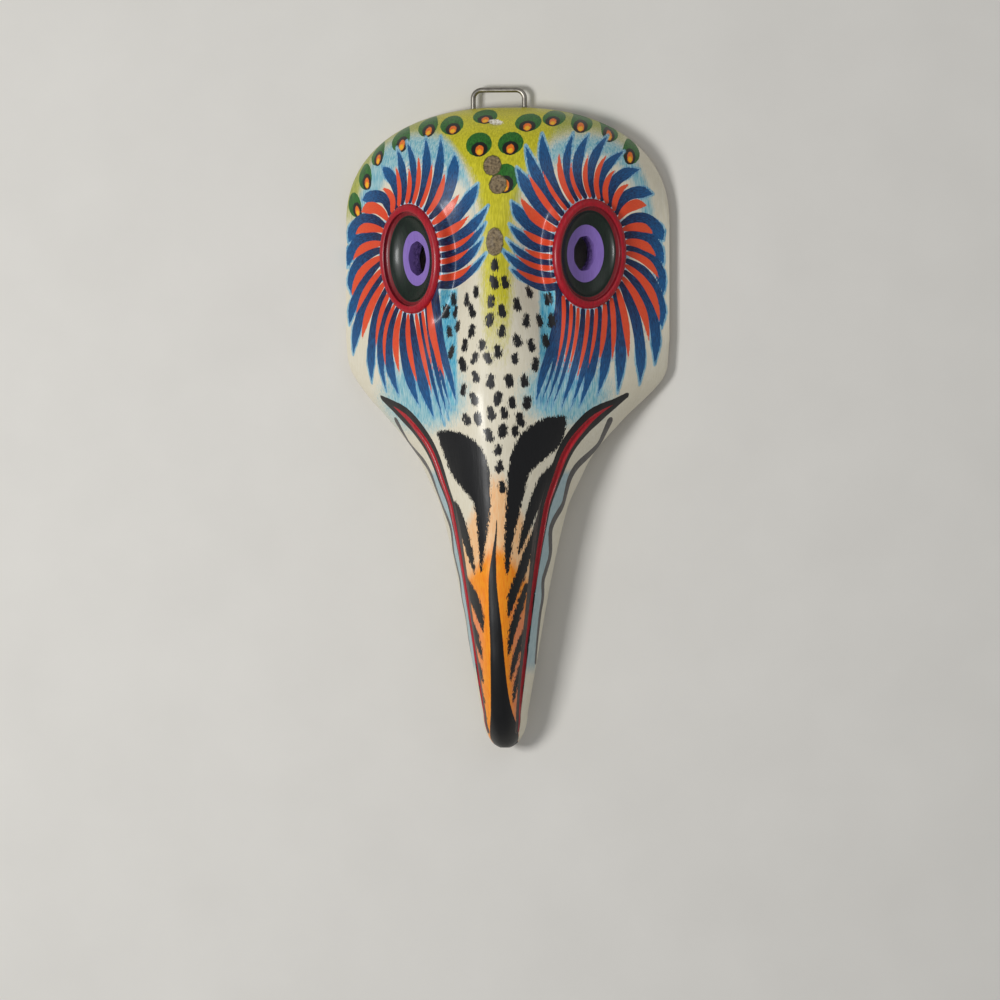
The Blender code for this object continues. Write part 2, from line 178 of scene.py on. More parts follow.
GOUGE_CELL_MM = (7.0, 16.0)
GOUGE_FADE = 0.004          # height over the rim below which the gouge left no mark
LEG_STEPS = 12
SHARP_ANGLE = radians(38)
FAR_OUT = -60.0             # a paint field's value where none of that paint is near
FIELD_RANGE = (-10, 2000)   # what is stored of the fields
CORNER_FAR = 0.75           # where a line is cut on each side of a corner, to round it
CORNER_NEAR = 0.25
LAST_ROW = ROWS - 1.001     # just before the grid's last row

# Places of the paint. A name that ends in _PX gives columns and rows of the photograph's frame, which
# spot() turns to millimetres as the turned camera sees them. Angles go round an eye, from 0 at its outer
# side over 90 at its top. Each row of FEATHERS has the angle of a feather's root, how far out and up from
# the middle of the eye its tip lies (mm), and how far it bows (share of its length).
FEATHERS = {
    1: ((-149, -32.0, -86.0, 0.085), (-129, -27.3, -89.3, 0.06), (-109, -21.5, -89.3, 0.05),
        (-92, -14.8, -90.2, 0.045), (-76, -8.0, -89.3, 0.045), (-63, 0.0, -83.5, 0.045),
        (-53, 9.3, -80.3, 0.045), (-44, 17.4, -79.8, 0.045), (-34, 27.0, -76.3, 0.07),
        (-21, 36.5, -66.7, 0.13), (-8, 41.8, -44.4, 0.16), (7, 43.0, -21.8, 0.22),
        (20, 43.2, -5.0, 0.21), (33, 43.0, 9.0, 0.28), (41, 39.4, 27.0, 0.265),
        (52, 34.2, 42.0, 0.245), (64, 25.8, 53.0, 0.23), (75, 18.8, 61.2, 0.18),
        (88, 9.3, 69.3, 0.14), (100, -1.7, 69.3, 0.155), (114, -11.6, 70.0, 0.12),
        (122, -23.8, 70.0, 0.10), (134, -35.0, 64.0, 0.07), (146, -40.8, 53.0, 0.04),
        (157, -43.7, 38.6, 0.11), (170, -45.6, 22.3, 0.11), (186, -47.0, 10.0, 0.12),
        (200, -50.5, 3.8, 0.12), (215, -47.0, -9.5, 0.13)),
    -1: ((-145, -25.0, -81.3, 0.05), (-110, -21.2, -94.8, 0.02), (-96, -17.8, -96.7, 0.02),
         (-81, -9.6, -87.1, 0.06), (-72, -2.9, -84.2, 0.075), (-62, 5.3, -79.4, 0.115),
         (-45, 15.4, -75.6, 0.09), (-32, 22.8, -70.8, 0.065), (-24, 30.6, -61.1, 0.085),
         (-8, 36.0, -43.3, 0.08), (8, 34.2, -21.7, 0.22), (23, 36.7, -4.2, 0.26),
         (39, 36.0, 13.0, 0.36), (52, 28.4, 34.0, 0.36), (61, 20.4, 46.7, 0.24),
         (74, 10.0, 62.6, 0.06), (91, 3.7, 68.0, 0.09), (105, -6.6, 70.0, 0.07),
         (121, -16.6, 71.3, 0.07), (132, -22.3, 62.6, 0.12), (141, -34.2, 52.7, 0.08),
         (153, -40.4, 38.9, 0.10), (168, -45.2, 27.4, 0.12), (188, -41.8, 12.9, 0.12),
         (206, -42.9, 4.6, 0.20)),
}
FEATHER_COUNT = {1: 29, -1: 26}
FEATHER_GAP = 1.3           # mm of pale ground between the bead and a feather's root
FEATHER_POINTS = 18
BOW_PLACE = 0.42            # share of a feather's length where it bows most
ROOT_WANDER = 1.1           # degrees that a feather's root strays from its place
STROKE_WIDTHS = (0.93, 1.05)    # how unevenly wide the strokes are, and how unevenly long the orange ones
ORANGE_LENGTHS = (0.86, 1.12)
LANE_MM = 9.0               # keeps the bristle lines of one stroke apart from those of the next
BROAD_LANES = 1000
ORANGE_LANES = 2000
FRINGE_START = 0.38         # share of a feather's length from which thin blue shows beside it
FRINGE_MM = 1.0
ORANGE_SHARE = 0.72         # of a navy feather's length
# How much of the room beside it each feather takes, from its root to its tip
NAVY_FILL = ((0.0, 0.44), (0.1, 0.53), (0.4, 0.68), (0.62, 0.66), (0.82, 0.38), (1.0, 0.02))
ORANGE_FILL = ((0.0, 0.37), (0.12, 0.45), (0.5, 0.42), (0.8, 0.22), (1.0, 0.02))
FEATHER_HALF_MM = 3.6       # the widest brush stroke
# The broad feathers nearest the snout: column, row and half the stroke, all in pixels
BROAD_FEATHERS_PX = (
    ((435, 290, 4.8), (435.5, 313, 5.8), (438.5, 336, 6.4), (445, 360, 5.4), (451, 380, 4.0),
     (457, 404, 0.3)),
    ((558, 289, 3.8), (559, 309, 4.4), (556, 332, 5.5), (548.5, 358, 5.4), (541, 379, 4.2),
     (535.5, 404, 0.3)),
    ((441, 287, 3.8), (452, 286, 5.2), (464, 280, 5.0), (475, 271, 4.0), (486.5, 256, 0.4)),
    ((555, 289, 3.6), (543, 289.5, 4.8), (530, 284, 4.6), (519, 278, 3.4), (510, 271, 0.4)),
)
BROAD_ORANGE_PX = ((429.3, 303, 3.4), (430.5, 318, 3.8), (434, 340, 3.6), (440, 362, 2.8), (446, 382, 0.3))
# Eyespots: column, row and size. What lies in each has its middle and its half sizes as shares of the
# spot's own.
EYESPOTS_PX = ((485, 118.5, 0.95), (452, 127, 0.95), (428, 127.6, 0.9), (401, 140, 0.95), (378, 154, 0.85),
               (365, 177, 0.9), (354.6, 205, 0.85), (528, 125, 1.0), (554, 120, 0.9), (582, 123.6, 0.95),
               (609, 131, 0.9), (631, 153, 0.9), (479, 147.5, 1.0), (510.5, 146.6, 0.97), (505, 182, 1.0))
EYESPOT_HALF_MM = (7.6, 8.7)
EYESPOT_LEAN = 0.42         # the flattest that a spot is drawn where the crown rolls away
EYESPOT_SIDE_MM = 70        # this far from the ridge a spot looks fully inward
EYESPOT_TURN = 0.35         # how far the spots at the sides are turned
EYESPOT_LOOK = 0.55         # how far their inner parts shift inward, as a share of half the width
EYE_BLACK = (0.08, -0.42, 0.64, 0.62)
EYE_FLAME = (0.10, -0.49, 0.31, 0.41)
EYE_YOLK = (0.09, -0.64, 0.21, 0.22)
KNOTS_PX = ((492.5, 169, 8.5, 9.5), (498, 188, 8.3, 9.0), (494.7, 245, 8.3, 13.3))
KNOT_DENT_MM = 0.7
KNOT_RIM_MM = 0.5
CHIP_PX = (496, 124.5, 7.5, 2.8)
CHIP_DENT_MM = 1.1
CHIP_TURN = -0.15           # radians
# Black dashes down the snout: a row, and the columns of those that lie about on it
DASHES_PX = (
    (268, (495,)), (285, (494, 505)), (294, (476, 529)), (301, (454, 467, 548)), (304, (491,)),
    (307, (517,)), (313, (447, 456, 472, 502)), (322, (490, 526, 539, 551)), (328, (458,)),
    (333, (450, 472, 502)), (342, (517, 545)), (347, (465, 482, 531)), (353, (452, 498)),
    (360, (475, 488, 515)), (366, (463, 535)), (378, (476,)), (382, (491, 509, 524)), (391, (464,)),
    (400, (474, 498)), (404, (512, 527)), (414, (491, 504)), (420, (467, 478, 520)), (432, (503, 515)),
    (436, (489,)), (450, (498,)), (467, (499,)), (487, (502,)),
)
DASH_HALF_PX = (4.3, 7.2)
DASH_LEANS_PX = (-1.2, 0.8) # how far the dashes lean, how big they are and how they taper
DASH_SIZES = (0.85, 1.1)
DASH_TAPERS = (0.7, 1.0)
# Outlines of the two black wedges
WEDGES_PX = (
    ((437, 432.5), (445, 431), (452, 431.5), (466, 435), (479.5, 445), (487.5, 460), (490.3, 478),
     (491.2, 501), (488.6, 526), (484.5, 551), (481.3, 580), (479.3, 551), (477.6, 526), (474.5, 502),
     (464.6, 491), (451.3, 474.6), (443, 451)),
    ((511, 454.5), (517.6, 438), (529.5, 426.5), (546, 418.5), (557, 416.5), (565.5, 417), (566, 424),
     (564, 435), (559, 448), (546, 458), (536, 466.5), (527.6, 475), (525, 491), (521, 504.5),
     (517.6, 522.6), (512.7, 539), (509.4, 567), (506.8, 579), (503.6, 551), (505.6, 511), (506.6, 491),
     (508, 468)),
)
# The stripe on the ridge that widens to the black tip, and the barbs on each side of it: column, row and
# half the stroke
CULMEN_PX = ((496.8, 519, 0.4), (496, 536, 1.0), (494.2, 551, 1.7), (493, 567, 3.3), (492.3, 582, 4.3),
             (494, 610, 5.7), (496.4, 638, 6.8), (497.6, 666, 7.8), (499.4, 694, 9.8), (501.8, 715, 13.0),
             (505, 733, 18.5), (505.5, 752, 22))
BARBS_PX = (
    ((456, 508, 7.0), (461, 522, 8.6), (466.5, 540, 7.2), (471, 556, 5.0), (475.2, 573, 0.8)),
    ((466, 580, 6.0), (472, 593, 8.0), (477.5, 606, 8.0), (481.3, 618, 5.4), (483, 629, 1.0)),
    ((469, 616, 5.0), (474, 629, 6.6), (478.5, 642, 6.0), (482.7, 658, 1.0)),
    ((472.5, 648, 4.0), (477, 660, 5.6), (480.5, 670, 4.8), (483.5, 681, 0.9)),
    ((477, 676, 3.2), (481, 688, 4.2), (485, 701, 0.7)),
    ((480, 700, 2.2), (483, 707, 2.4), (487, 717, 0.5)),
    ((552, 467, 3.0), (544, 480, 7.0), (537.5, 496, 8.5), (530.5, 515, 6.6), (523.5, 535, 4.6),
     (518.6, 552, 1.5)),
    ((537, 524, 3.6), (528, 552, 6.0), (519.5, 577, 6.2), (511.5, 596, 5.6), (508.5, 614, 1.4)),
    ((526, 586, 3.6), (518.5, 610, 5.4), (511.5, 632, 4.8), (508.8, 653, 1.2)),
    ((523, 632, 3.0), (516.5, 653, 4.6), (512, 668, 3.4), (510.8, 678, 1.0)),
    ((521, 662, 2.6), (516, 683, 3.8), (513, 700, 1.0)),
    ((521.5, 686, 2.2), (517.5, 712, 0.8)),
)
LIP_TIPS_PX = {1: (626, 396), -1: (383, 399)}
MOUTH_POINTS = 70
# Half the red of the mouth, how far the black lips stand over it, and half the grey band of painted sheen
# over the upper lip (the black drawn grey where the bill's steep side catches a reflection), in mm along the
# mouth
MOUTH_HALF_MM = ((0.0, -1.4), (0.03, 0.3), (0.06, 1.5), (0.10, 2.2), (0.17, 2.6), (0.34, 2.3), (0.55, 1.5),
                 (0.94, 0.9), (1.0, 0.4))
LIP_MM = ((0.0, 1.0), (0.03, 3.2), (0.07, 4.0), (0.12, 3.6), (0.26, 2.7), (0.42, 1.6), (0.6, 1.0), (1.0, 0.7))
SHEEN_BAND_MM = ((0.0, 0.1), (0.28, 0.6), (0.42, 3.4), (0.75, 3.2), (1.0, 1.4))
LIP_RAISE_MM = 0.7          # the upper lip is the broader one
LIP_FULL_MM = 2.0           # from this width on it is raised in full
LIP_UP = 0.3                # mm upward for each mm toward the ridge
LIP_TIP_HALF_MM = (1.6, 3.6, 4.8)   # the black beyond the corner of the mouth
LIP_TIP_POINTS = (2, 7)     # points of the mouth line that the lip's pointed end runs through
SHEEN_BAND_GAP_MM = 0.4      # between the lip's edge and the middle of that band
UNDER_EDGE = 0.0005         # this far under the rim's edge the wall starts
# The wavy grey line under the mouth, on the right: column and row
WAVE_PX = ((609, 422), (604, 433), (598.5, 445), (589, 454.5), (576, 466), (569, 478), (565.5, 493),
           (563, 505), (555.5, 516), (550, 528), (550, 541), (550.5, 554), (546, 569), (542.3, 580),
           (543, 596), (540.3, 610), (539, 621), (537, 640), (535.4, 661))
WAVE_HALF_MM = (2.6, 1.7)
IRIS_HALF_MM = {1: (12.2, 16.6), -1: (10.9, 15.8)}
EYE_DEPTH_MM = 20           # how far from its own plane an eye's paint can lie
EYE_LOWEST = 0.012
BORE_TOP_MM = 0.2           # how far the bore's paint stands over the foot of the dish
# The ground that the feathers of each eye cover: middle, half width and half height
PLUMES_PX = {-1: (420, 255, 66, 120), 1: (586, 250, 72, 118)}
PLUME_POWER = 2.4
# The ring of blue round them: how deep it is, its share of their size, how steeply it ends, and from
# where it fades downward and toward the snout
RING_BLUE = {-1: 3.4, 1: 2.2}
RING_PLACE = 0.87
RING_SLOPE = 30
RING_FADE = 9
RING_LOW = 0.12
RING_INNER = -0.45
# The washes: half the yellow on the ridge by row, where the other colours lie, and over how many pixels
# each of them gains a mm of depth. OVER_PLUMES has how steeply a wash ends at the feathers' ground, and
# how deep it is at its edge.
WASH_LOWEST = 0.001         # height over the back plane where the washes end
YELLOW_MIDDLE_PX = 497
YELLOW_HALF_PX = ((105, 64), (138, 54), (157, 38), (170, 30), (190, 19), (215, 16), (300, 14),
                  (345, 9), (400, 0))
YELLOW_SLOPE = 0.26
YELLOW_FOOT_PX = 334
YELLOW_SOFT_PX = 26
YELLOW_OVER_PLUMES = (26, 2.2)
OLIVE_MIDDLE_PX = 476
OLIVE_REACH_PX = 146
OLIVE_FOOT_PX = 216
OLIVE_SOFT_PX = (9, 8)
OLIVE_OVER_PLUMES = (24, 0.4)
OLIVE_DEEPEST_MM = 4.5
STRIPS_PX = ((449, 8.5), (547, 8.0))
STRIP_ROWS_PX = (291, 408)
STRIP_SOFT_PX = (1.7, 2, 12)
LOW_TIPS_PX = ((424, 396, 40, 34), (566, 394, 42, 31))
LOW_TIPS_DEEPEST_MM = 5.0
BILL_MIDDLE_PX = 497
BILL_RIDGE_PX = 6           # half the ridge's width
# Rows where a wash of the bill starts on the ridge, and how much further down each pixel aside from it
BILL_WASHES_PX = (("peach_wash", 480, 1.9, 6), ("orange_wash", 549, 1.3, 4.5))
SALMON_ROW_PX = 606
SALMON_ASIDE_PX = 9
SALMON_SOFT_PX = (12, 2.5)
JAW_BLUE_ROWS_PX = (472, 668)
JAW_BLUE_SOFT_PX = (8, 16)
BLACK_OVER_MM = 1           # how far the black of the barbs runs on into the lip
BARE_EDGE_MM = 1.3


def along(table, share):
    """Values at the given shares of the length, on a smooth line through the table's points."""
    spots, values = np.array(table).T
    slopes = np.diff(values) / np.diff(spots)
    inner = np.zeros(len(spots))
    together = slopes[:-1] * slopes[1:] > 0
    total = np.where(together, slopes[:-1] + slopes[1:], 1.0)
    inner[1:-1] = np.where(together, 2 * slopes[:-1] * slopes[1:] / total, 0.0)
    inner[0] = slopes[0]
    inner[-1] = slopes[-1]
    share = np.clip(share, spots[0], spots[-1])
    k = np.clip(np.searchsorted(spots, share, side="right") - 1, 0, len(slopes) - 1)
    span = np.diff(spots)[k]
    t = (share - spots[k]) / span
    rise = (2 * t ** 3 - 3 * t ** 2 + 1) * values[k] + (3 * t ** 2 - 2 * t ** 3) * values[k + 1]
    return rise + span * ((t ** 3 - 2 * t ** 2 + t) * inner[k] + (t ** 3 - t ** 2) * inner[k + 1])


def share_at(y):
    return (y - TIP_Y) / MASK_LENGTH


def rounded(share, fullness):
    """Rises from 0 to 1 as the side of a full oval does."""
    return np.maximum(0.0, 1 - (1 - share) ** fullness) ** (1 / fullness)


def soft_step(t):
    return t * t * (3 - 2 * t)


def end_round(y):
    return rounded(np.minimum(1.0, share_at(y) / END_SHARE), END_FULLNESS)


def half_width(y, side):
    share = share_at(y)
    dropped = CHEEK_DROP * np.exp(-((share - CHEEK_PLACE) / CHEEK_SPREAD) ** 2) * (np.asarray(side) > 0)
    width = HALF * along(HALF_WIDTH, share + dropped) * end_round(y)
    down = np.clip((CROWN_Y - y) / CROWN_DEPTH, 0.0, 1.0)
    return np.where(down < 1.0, HALF * rounded(down, CROWN_FULLNESS), width)


def edge_height(y):
    return RIDGE_HEIGHT * along(EDGE, share_at(y))


def ridge_height(y):
    edge = edge_height(y)
    height = edge + (RIDGE_HEIGHT * along(RIDGE, share_at(y)) - edge) * end_round(y)
    down = np.clip((CROWN_Y - y) / CROWN_ROLL, 0.0, 1.0)
    return edge + (height - edge) * rounded(down, END_FULLNESS)


def underside(y):
    edge = edge_height(y)
    return edge - (edge - RIDGE_HEIGHT * along(UNDERSIDE, share_at(y))) * end_round(y)


def arch(x, half, fullness):
    soft = RIDGE_ROUND * half
    out = (np.sqrt(x * x + soft * soft) - soft) / (np.sqrt(half * half + soft * soft) - soft)
    return np.maximum(0.0, 1 - np.minimum(1.0, out) ** fullness) ** (1 / fullness)


def eye_up(side):
    return TIP_Y + (EYE_UP_RIGHT if side > 0 else EYE_UP_LEFT)


def face(x, y):
    """Height of the face above the back plane, with the valleys beside its ridge and without the eyes."""
    half = np.maximum(half_width(y, x), LEAST_HALF)
    edge = edge_height(y)
    share = share_at(y)
    fall = arch(x, half, along(FULLNESS, share))
    away = (np.abs(x) - half * along(VALLEY_PLACE, share)) / VALLEY_HALF_WIDTH
    valley = VALLEY_DEPTH * along(VALLEY_STRENGTH, share) * np.exp(-away ** 2)
    return edge + (ridge_height(y) - edge) * fall - valley


def eye_matrix(side):
    """The eye's own frame: X across it, Y up it, Z out of it."""
    y = eye_up(side)
    x = side * EYE_OUT
    place = Matrix.Translation((x, y, float(face(x, y)) + MOUNT_HEIGHT))
    return place @ Matrix.Rotation(side * EYE_TURN, 4, "Y") @ Matrix.Rotation(EYE_DIP, 4, "X")


EYE_FRAMES = {side: np.array(eye_matrix(side)) for side in SIDES}


def front(x, y):
    """Height of the carved front above the back plane: the face, with the flat mounts of the eyes."""
    height = face(x, y)
    for side in SIDES:
        matrix = EYE_FRAMES[side]
        centre = matrix[:3, 3]
        out = matrix[:3, 2]
        flat = centre[2] - (out[0] * (x - centre[0]) + out[1] * (y - centre[1])) / out[2]
        away = np.stack(np.broadcast_arrays(x - centre[0], y - centre[1], flat - centre[2]), -1)
        across = away @ matrix[:3, 0] / (RIM_HALF_WIDTH + RIM_BEAD)
        up = away @ matrix[:3, 1] / (RIM_HALF_HEIGHT + RIM_BEAD)
        t = np.clip((1 + MOUNT_SPREAD - np.hypot(across, up)) / MOUNT_SPREAD, 0.0, 1.0)
        height = height + (flat - height) * t * t * (3 - 2 * t) * (x * side > 0)
    return height


def uneven(across, up, cell, seed):
    """Smooth uneven ground between -1 and 1, with bumps about a cell apart."""
    width, height = np.broadcast_to(cell, 2)
    lattice = np.random.default_rng(seed).uniform(-1, 1, (LATTICE, LATTICE))
    column = across / width + LATTICE // 2
    row = up / height + LATTICE // 2
    i = np.floor(row).astype(int)
    j = np.floor(column).astype(int)
    t = soft_step(row - i)
    s = soft_step(column - j)
    low = lattice[i, j] * (1 - s) + lattice[i, j + 1] * s
    high = lattice[i + 1, j] * (1 - s) + lattice[i + 1, j + 1] * s
    return low * (1 - t) + high * t


def row_places():
    """Where the grid's rows lie, at even steps along the ridge and closer in the feathers."""
    share = FLAT_END + (1 - 2 * FLAT_END) * (1 - np.cos(np.linspace(0, pi, ROW_TRIALS))) / 2
    y = TIP_Y + share * MASK_LENGTH
    run = np.hypot(np.diff(y), np.diff(ridge_height(y)))
    middle = (share[1:] + share[:-1]) / 2
    close = (middle > FEATHER_SHARES[0]) & (middle < FEATHER_SHARES[1])
    travelled = np.concatenate(([0.0], np.cumsum(run / np.where(close, FEATHER_STEP, 1.0))))
    return np.interp(np.linspace(0, travelled[-1], ROWS), travelled, y)


def front_grid():
    """Points over the carved front, row by row from edge to edge, and how far each is from the ridge."""
    places = row_places()
    points = np.empty((ROWS, 2 * COLUMNS + 1, 3))
    arc = np.empty((ROWS, 2 * COLUMNS + 1))
    for row, y in enumerate(places):
        for side in SIDES:
            x = side * half_width(y, side) * np.sin(pi / 2 * np.linspace(0, 1, FINE_STEPS)) ** FINE_EDGE
            z = front(x, y)
            run = np.concatenate(([0.0], np.cumsum(np.hypot(np.diff(x), np.diff(z)))))
            wanted = np.linspace(0, run[-1], COLUMNS + 1)
            columns = COLUMNS + side * np.arange(COLUMNS + 1)
            points[row, columns, 0] = np.interp(wanted, run, x)
            points[row, columns, 2] = np.interp(wanted, run, z)
            arc[row, columns] = side * wanted
        points[row, :, 1] = y
    return points, arc


def knife_work(points, arc):
    """The front as a knife left it: never standing out further than the smooth form."""
    along_rows = np.gradient(points, axis=0)
    across_rows = np.gradient(points, axis=1)
    out = np.cross(across_rows, along_rows)
    out /= np.linalg.norm(out, axis=2, keepdims=True)
    a = arc / MM
    y = points[..., 1] / MM
    depth = WAVE_MM * (1 + uneven(a, y, WAVE_CELL_MM, 3)) / 2
    depth += CUT_MM * (1 + uneven(a + CUT_SLANT * y, y, CUT_CELL_MM, 5)) / 2
    for column, row, half_across, half_up in (*KNOTS_PX, CHIP_PX):
        middle, up = spot(column, row)
        reach = np.hypot((seen_across(points) - middle) / half_across, (y - up) / half_up) / MM_PER_PX
        t = np.clip((1 - reach) / DENT_SOFT, 0, 1)
        depth += (CHIP_DENT_MM if half_up < half_across / 2 else KNOT_DENT_MM) * t * t * (3 - 2 * t)
    ends = np.minimum(1.0, np.arange(ROWS)[:, None] / CALM_ROWS)
    edges = np.minimum(1.0, (np.arange(2 * COLUMNS + 1) / CALM_COLUMNS)[None, :])
    calm = ends * ends[::-1]
    return points - out * (depth * calm * (edges * edges[:, ::-1]) * MM)[..., None]


def mesh_object(name, vertices, faces, material):
    data = bpy.data.meshes.new(name)
    data.from_pydata(vertices, [], faces)
    made = bmesh.new()
    made.from_mesh(data)
    bmesh.ops.recalc_face_normals(made, faces=made.faces)
    made.to_mesh(data)
    made.free()
    data.materials.append(material)
    obj = bpy.data.objects.new(name, data)
    bpy.context.scene.collection.objects.link(obj)
    return obj


def lofted(name, rings, material, closed=False):
    """A solid through rings of as many points each: capped at both ends, or running round in a loop."""
    rings = np.asarray(rings)
    rows, count = rings.shape[:2]
    faces = []
    for row in range(rows if closed else rows - 1):
        after = (row + 1) % rows
        for k in range(count):
            onward = (k + 1) % count
            faces.append((row * count + k, row * count + onward, after * count + onward, after * count + k))
    if not closed:
        faces.append(tuple(range(count)))
        faces.append(tuple(range((rows - 1) * count, rows * count)))
    return mesh_object(name, rings.reshape(-1, 3).tolist(), faces, material)


def mask_rings(points):
    """Adds the sides and the flat back to each row of the front, as the solid has them."""
    rings = []
    for row in points:
        y = float(row[0, 1])
        bottom = float(underside(y))
        waist_height = (float(edge_height(y)) + bottom) / 2
        lower = {}
        for side in SIDES:
            half = float(half_width(y, side))
            foot = half * float(along(FOOT_WIDTH, share_at(y)))
            waist = foot + (half - foot) * WAIST_WIDTH
            lower[side] = [(side * foot, y, bottom), (side * waist, y, waist_height)]
        rings.append(lower[-1] + row.tolist() + lower[1][::-1])
    return rings


def eye_points(side, points):
    """Points given in an eye's own frame, in the mask's frame."""
    frame_of_eye = EYE_FRAMES[side]
    return np.asarray(points) @ frame_of_eye[:3, :3].T + frame_of_eye[:3, 3]


def rim_bead(side, material):
    turns = 2 * pi * np.arange(BEAD_TURNS) / BEAD_TURNS
    rings = []
    for turn in turns:
        centre = np.array((RIM_HALF_WIDTH * cos(turn), RIM_HALF_HEIGHT * sin(turn), BEAD_LIFT))
        outward = np.array((cos(turn) * RIM_HALF_HEIGHT, sin(turn) * RIM_HALF_WIDTH, 0.0))
        outward /= np.linalg.norm(outward)
        ring = []
        for k in range(BEAD_SIDES):
            roll = 2 * pi * k / BEAD_SIDES
            ring.append(centre + RIM_BEAD * (outward * cos(roll) + np.array((0, 0, sin(roll)))))
        rings.append(eye_points(side, ring))
    return lofted("bead", rings, material, closed=True)


def oval(side, half_across, half_up, height, wobble=0.0):
    """A ring round the middle of an eye at a height over its plane, out of round by the wobble."""
    ring = []
    for k in range(BOWL_TURNS):
        turn = 2 * pi * k / BOWL_TURNS
        size = 1 - wobble * (1 + sin(3 * turn + side) * cos(5 * turn))
        ring.append((half_across * size * cos(turn), half_up * size * sin(turn), height))
    return eye_points(side, ring)


def bowl(side, half_across, half_up, depth, material):
    """Leaves an egg-shaped dish of the given depth, with straight walls above it."""
    rings = []
    for step in range(1, BOWL_RINGS + 1):
        tilt = pi / 2 * step / BOWL_RINGS
        height = BOWL_LIFT - (depth + BOWL_LIFT) * cos(tilt)
        rings.append(oval(side, half_across * sin(tilt), half_up * sin(tilt), height))
    rings.append(oval(side, half_across, half_up, BOWL_LIFT + 2 * RIM_BEAD))
    return lofted("bowl", rings, material)


def pupil_bore(side, material):
    """The pupil's bore, square to the eye."""
    ends = (-RIDGE_HEIGHT / 2, RIDGE_HEIGHT / 2)
    rings = [oval(side, PUPIL_HALF_WIDTH, PUPIL_HALF_HEIGHT, reach, BORE_WOBBLE) for reach in ends]
    return lofted("pupil", rings, material)


def on_mouth(side, y):
    """A place of the mouth line on the carved front."""
    x = side * float(half_width(y, side)) * float(along(MOUTH_PLACE, share_at(y)))
    return np.array((x, y, float(front(x, y))))


def out_of_wood(x, y):
    """The direction square to the carved front."""
    small = 0.0005
    across = (front(x + small, y) - front(x - small, y)) / (2 * small)
    upward = (front(x, y + small) - front(x, y - small)) / (2 * small)
    out = np.array((-across, -upward, 1.0))
    return out / np.linalg.norm(out)


def mouth_groove(side, material):
    centres = []
    radii = []
    for k in range(GROOVE_STEPS + 1):
        t = k / GROOVE_STEPS
        y = TIP_Y + MOUTH_TOP + (MOUTH_FOOT - MOUTH_TOP) * t
        fine = min(1.0, GROOVE_FINEST + GROOVE_GROWTH[0] * t, GROOVE_FINEST + GROOVE_GROWTH[1] * (1 - t))
        place = on_mouth(side, y)
        centres.append(place + out_of_wood(place[0], y) * GROOVE_LIFT)
        radii.append(GROOVE_RADIUS * fine)
    return lofted("mouth", round_rings(centres, radii, GROOVE_SIDES), material)


def round_rings(centres, radii, sides):
    """Rings of points square to a line, one at each of its points."""
    centres = np.asarray(centres)
    ahead = np.gradient(centres, axis=0)
    ahead /= np.linalg.norm(ahead, axis=1, keepdims=True)
    steady = np.array((0.0, 0.0, 1.0))
    rings = []
    for centre, forward, radius in zip(centres, ahead, radii):
        sideways = np.cross(forward, steady)
        sideways /= np.linalg.norm(sideways)
        upward = np.cross(sideways, forward)
        turns = 2 * pi * np.arange(sides) / sides
        rings.append(centre + radius * (np.cos(turns)[:, None] * sideways + np.sin(turns)[:, None] * upward))
    return rings


def hollow(material):
    """The space behind the face, with the marks of the gouge."""
    foot = TIP_Y + HOLLOW_FOOT
    head = CROWN_Y - CROWN_WALL
    rings = []
    for k in range(HOLLOW_STATIONS + 1):
        turn = pi * (HOLLOW_TURN[0] + HOLLOW_TURN[1] * k / HOLLOW_STATIONS)
        y = foot + (head - foot) * (1 - cos(turn)) / 2
        round_off = sqrt(sin(turn))
        wide = float(half_width(y, -1)) * float(along(FOOT_WIDTH, share_at(y))) - RIM_WALL
        half = min(wide, wide * round_off * HOLLOW_WIDE_END)
        high = (float(ridge_height(y)) - RIDGE_WALL) * min(1.0, round_off * HOLLOW_HIGH_END)
        ring = [(half, y, -RIM_WALL)]
        for step in range(-HOLLOW_STEPS, HOLLOW_STEPS + 1):
            x = -half * sin(pi / 2 * step / HOLLOW_STEPS)
            z = high * float(arch(x, half, HOLLOW_ARCH))
            gouge = CHISEL_MM * MM * float(uneven(x / MM, y / MM, GOUGE_CELL_MM, 9))
            ring.append((x, y, z + gouge * min(1.0, z / GOUGE_FADE)))
        ring.append((-half, y, -RIM_WALL))
        rings.append(ring)
    return lofted("hollow", rings, material)


def socket_rod(side, material):
    x = hanger_leg_x(side)
    reach = LEG_DEPTH + CLEARANCE
    centres = [(x, CROWN_Y - reach, HANGER_Z), (x, CROWN_Y + reach, HANGER_Z)]
    return lofted("socket", round_rings(centres, [WIRE / 2 + CLEARANCE] * 2, HANGER_SIDES), material)


def hanger_leg_x(side):
    return HANGER_X + side * (HANGER_WIDTH - WIRE) / 2


def combine(body, tools, operation):
    """Adds the tools' shapes to the body, or cuts them away, and then takes the tools out of the scene."""
    group = bpy.data.collections.new(operation)
    bpy.context.scene.collection.children.link(group)
    for tool in tools:
        bpy.context.scene.collection.objects.unlink(tool)
        group.objects.link(tool)
    step = body.modifiers.new(operation, "BOOLEAN")
    step.operation = operation
    step.solver = "MANIFOLD"    # the exact solver takes ten times as long on this many faces
    step.operand_type = "COLLECTION"
    step.collection = group
    step.material_mode = "TRANSFER"
    bpy.context.view_layer.update()
    evaluated = body.evaluated_get(bpy.context.evaluated_depsgraph_get())
    data = bpy.data.meshes.new_from_object(evaluated)
    body.modifiers.clear()
    body.data = data
    for tool in tools:
        bpy.data.objects.remove(tool)
    bpy.data.collections.remove(group)


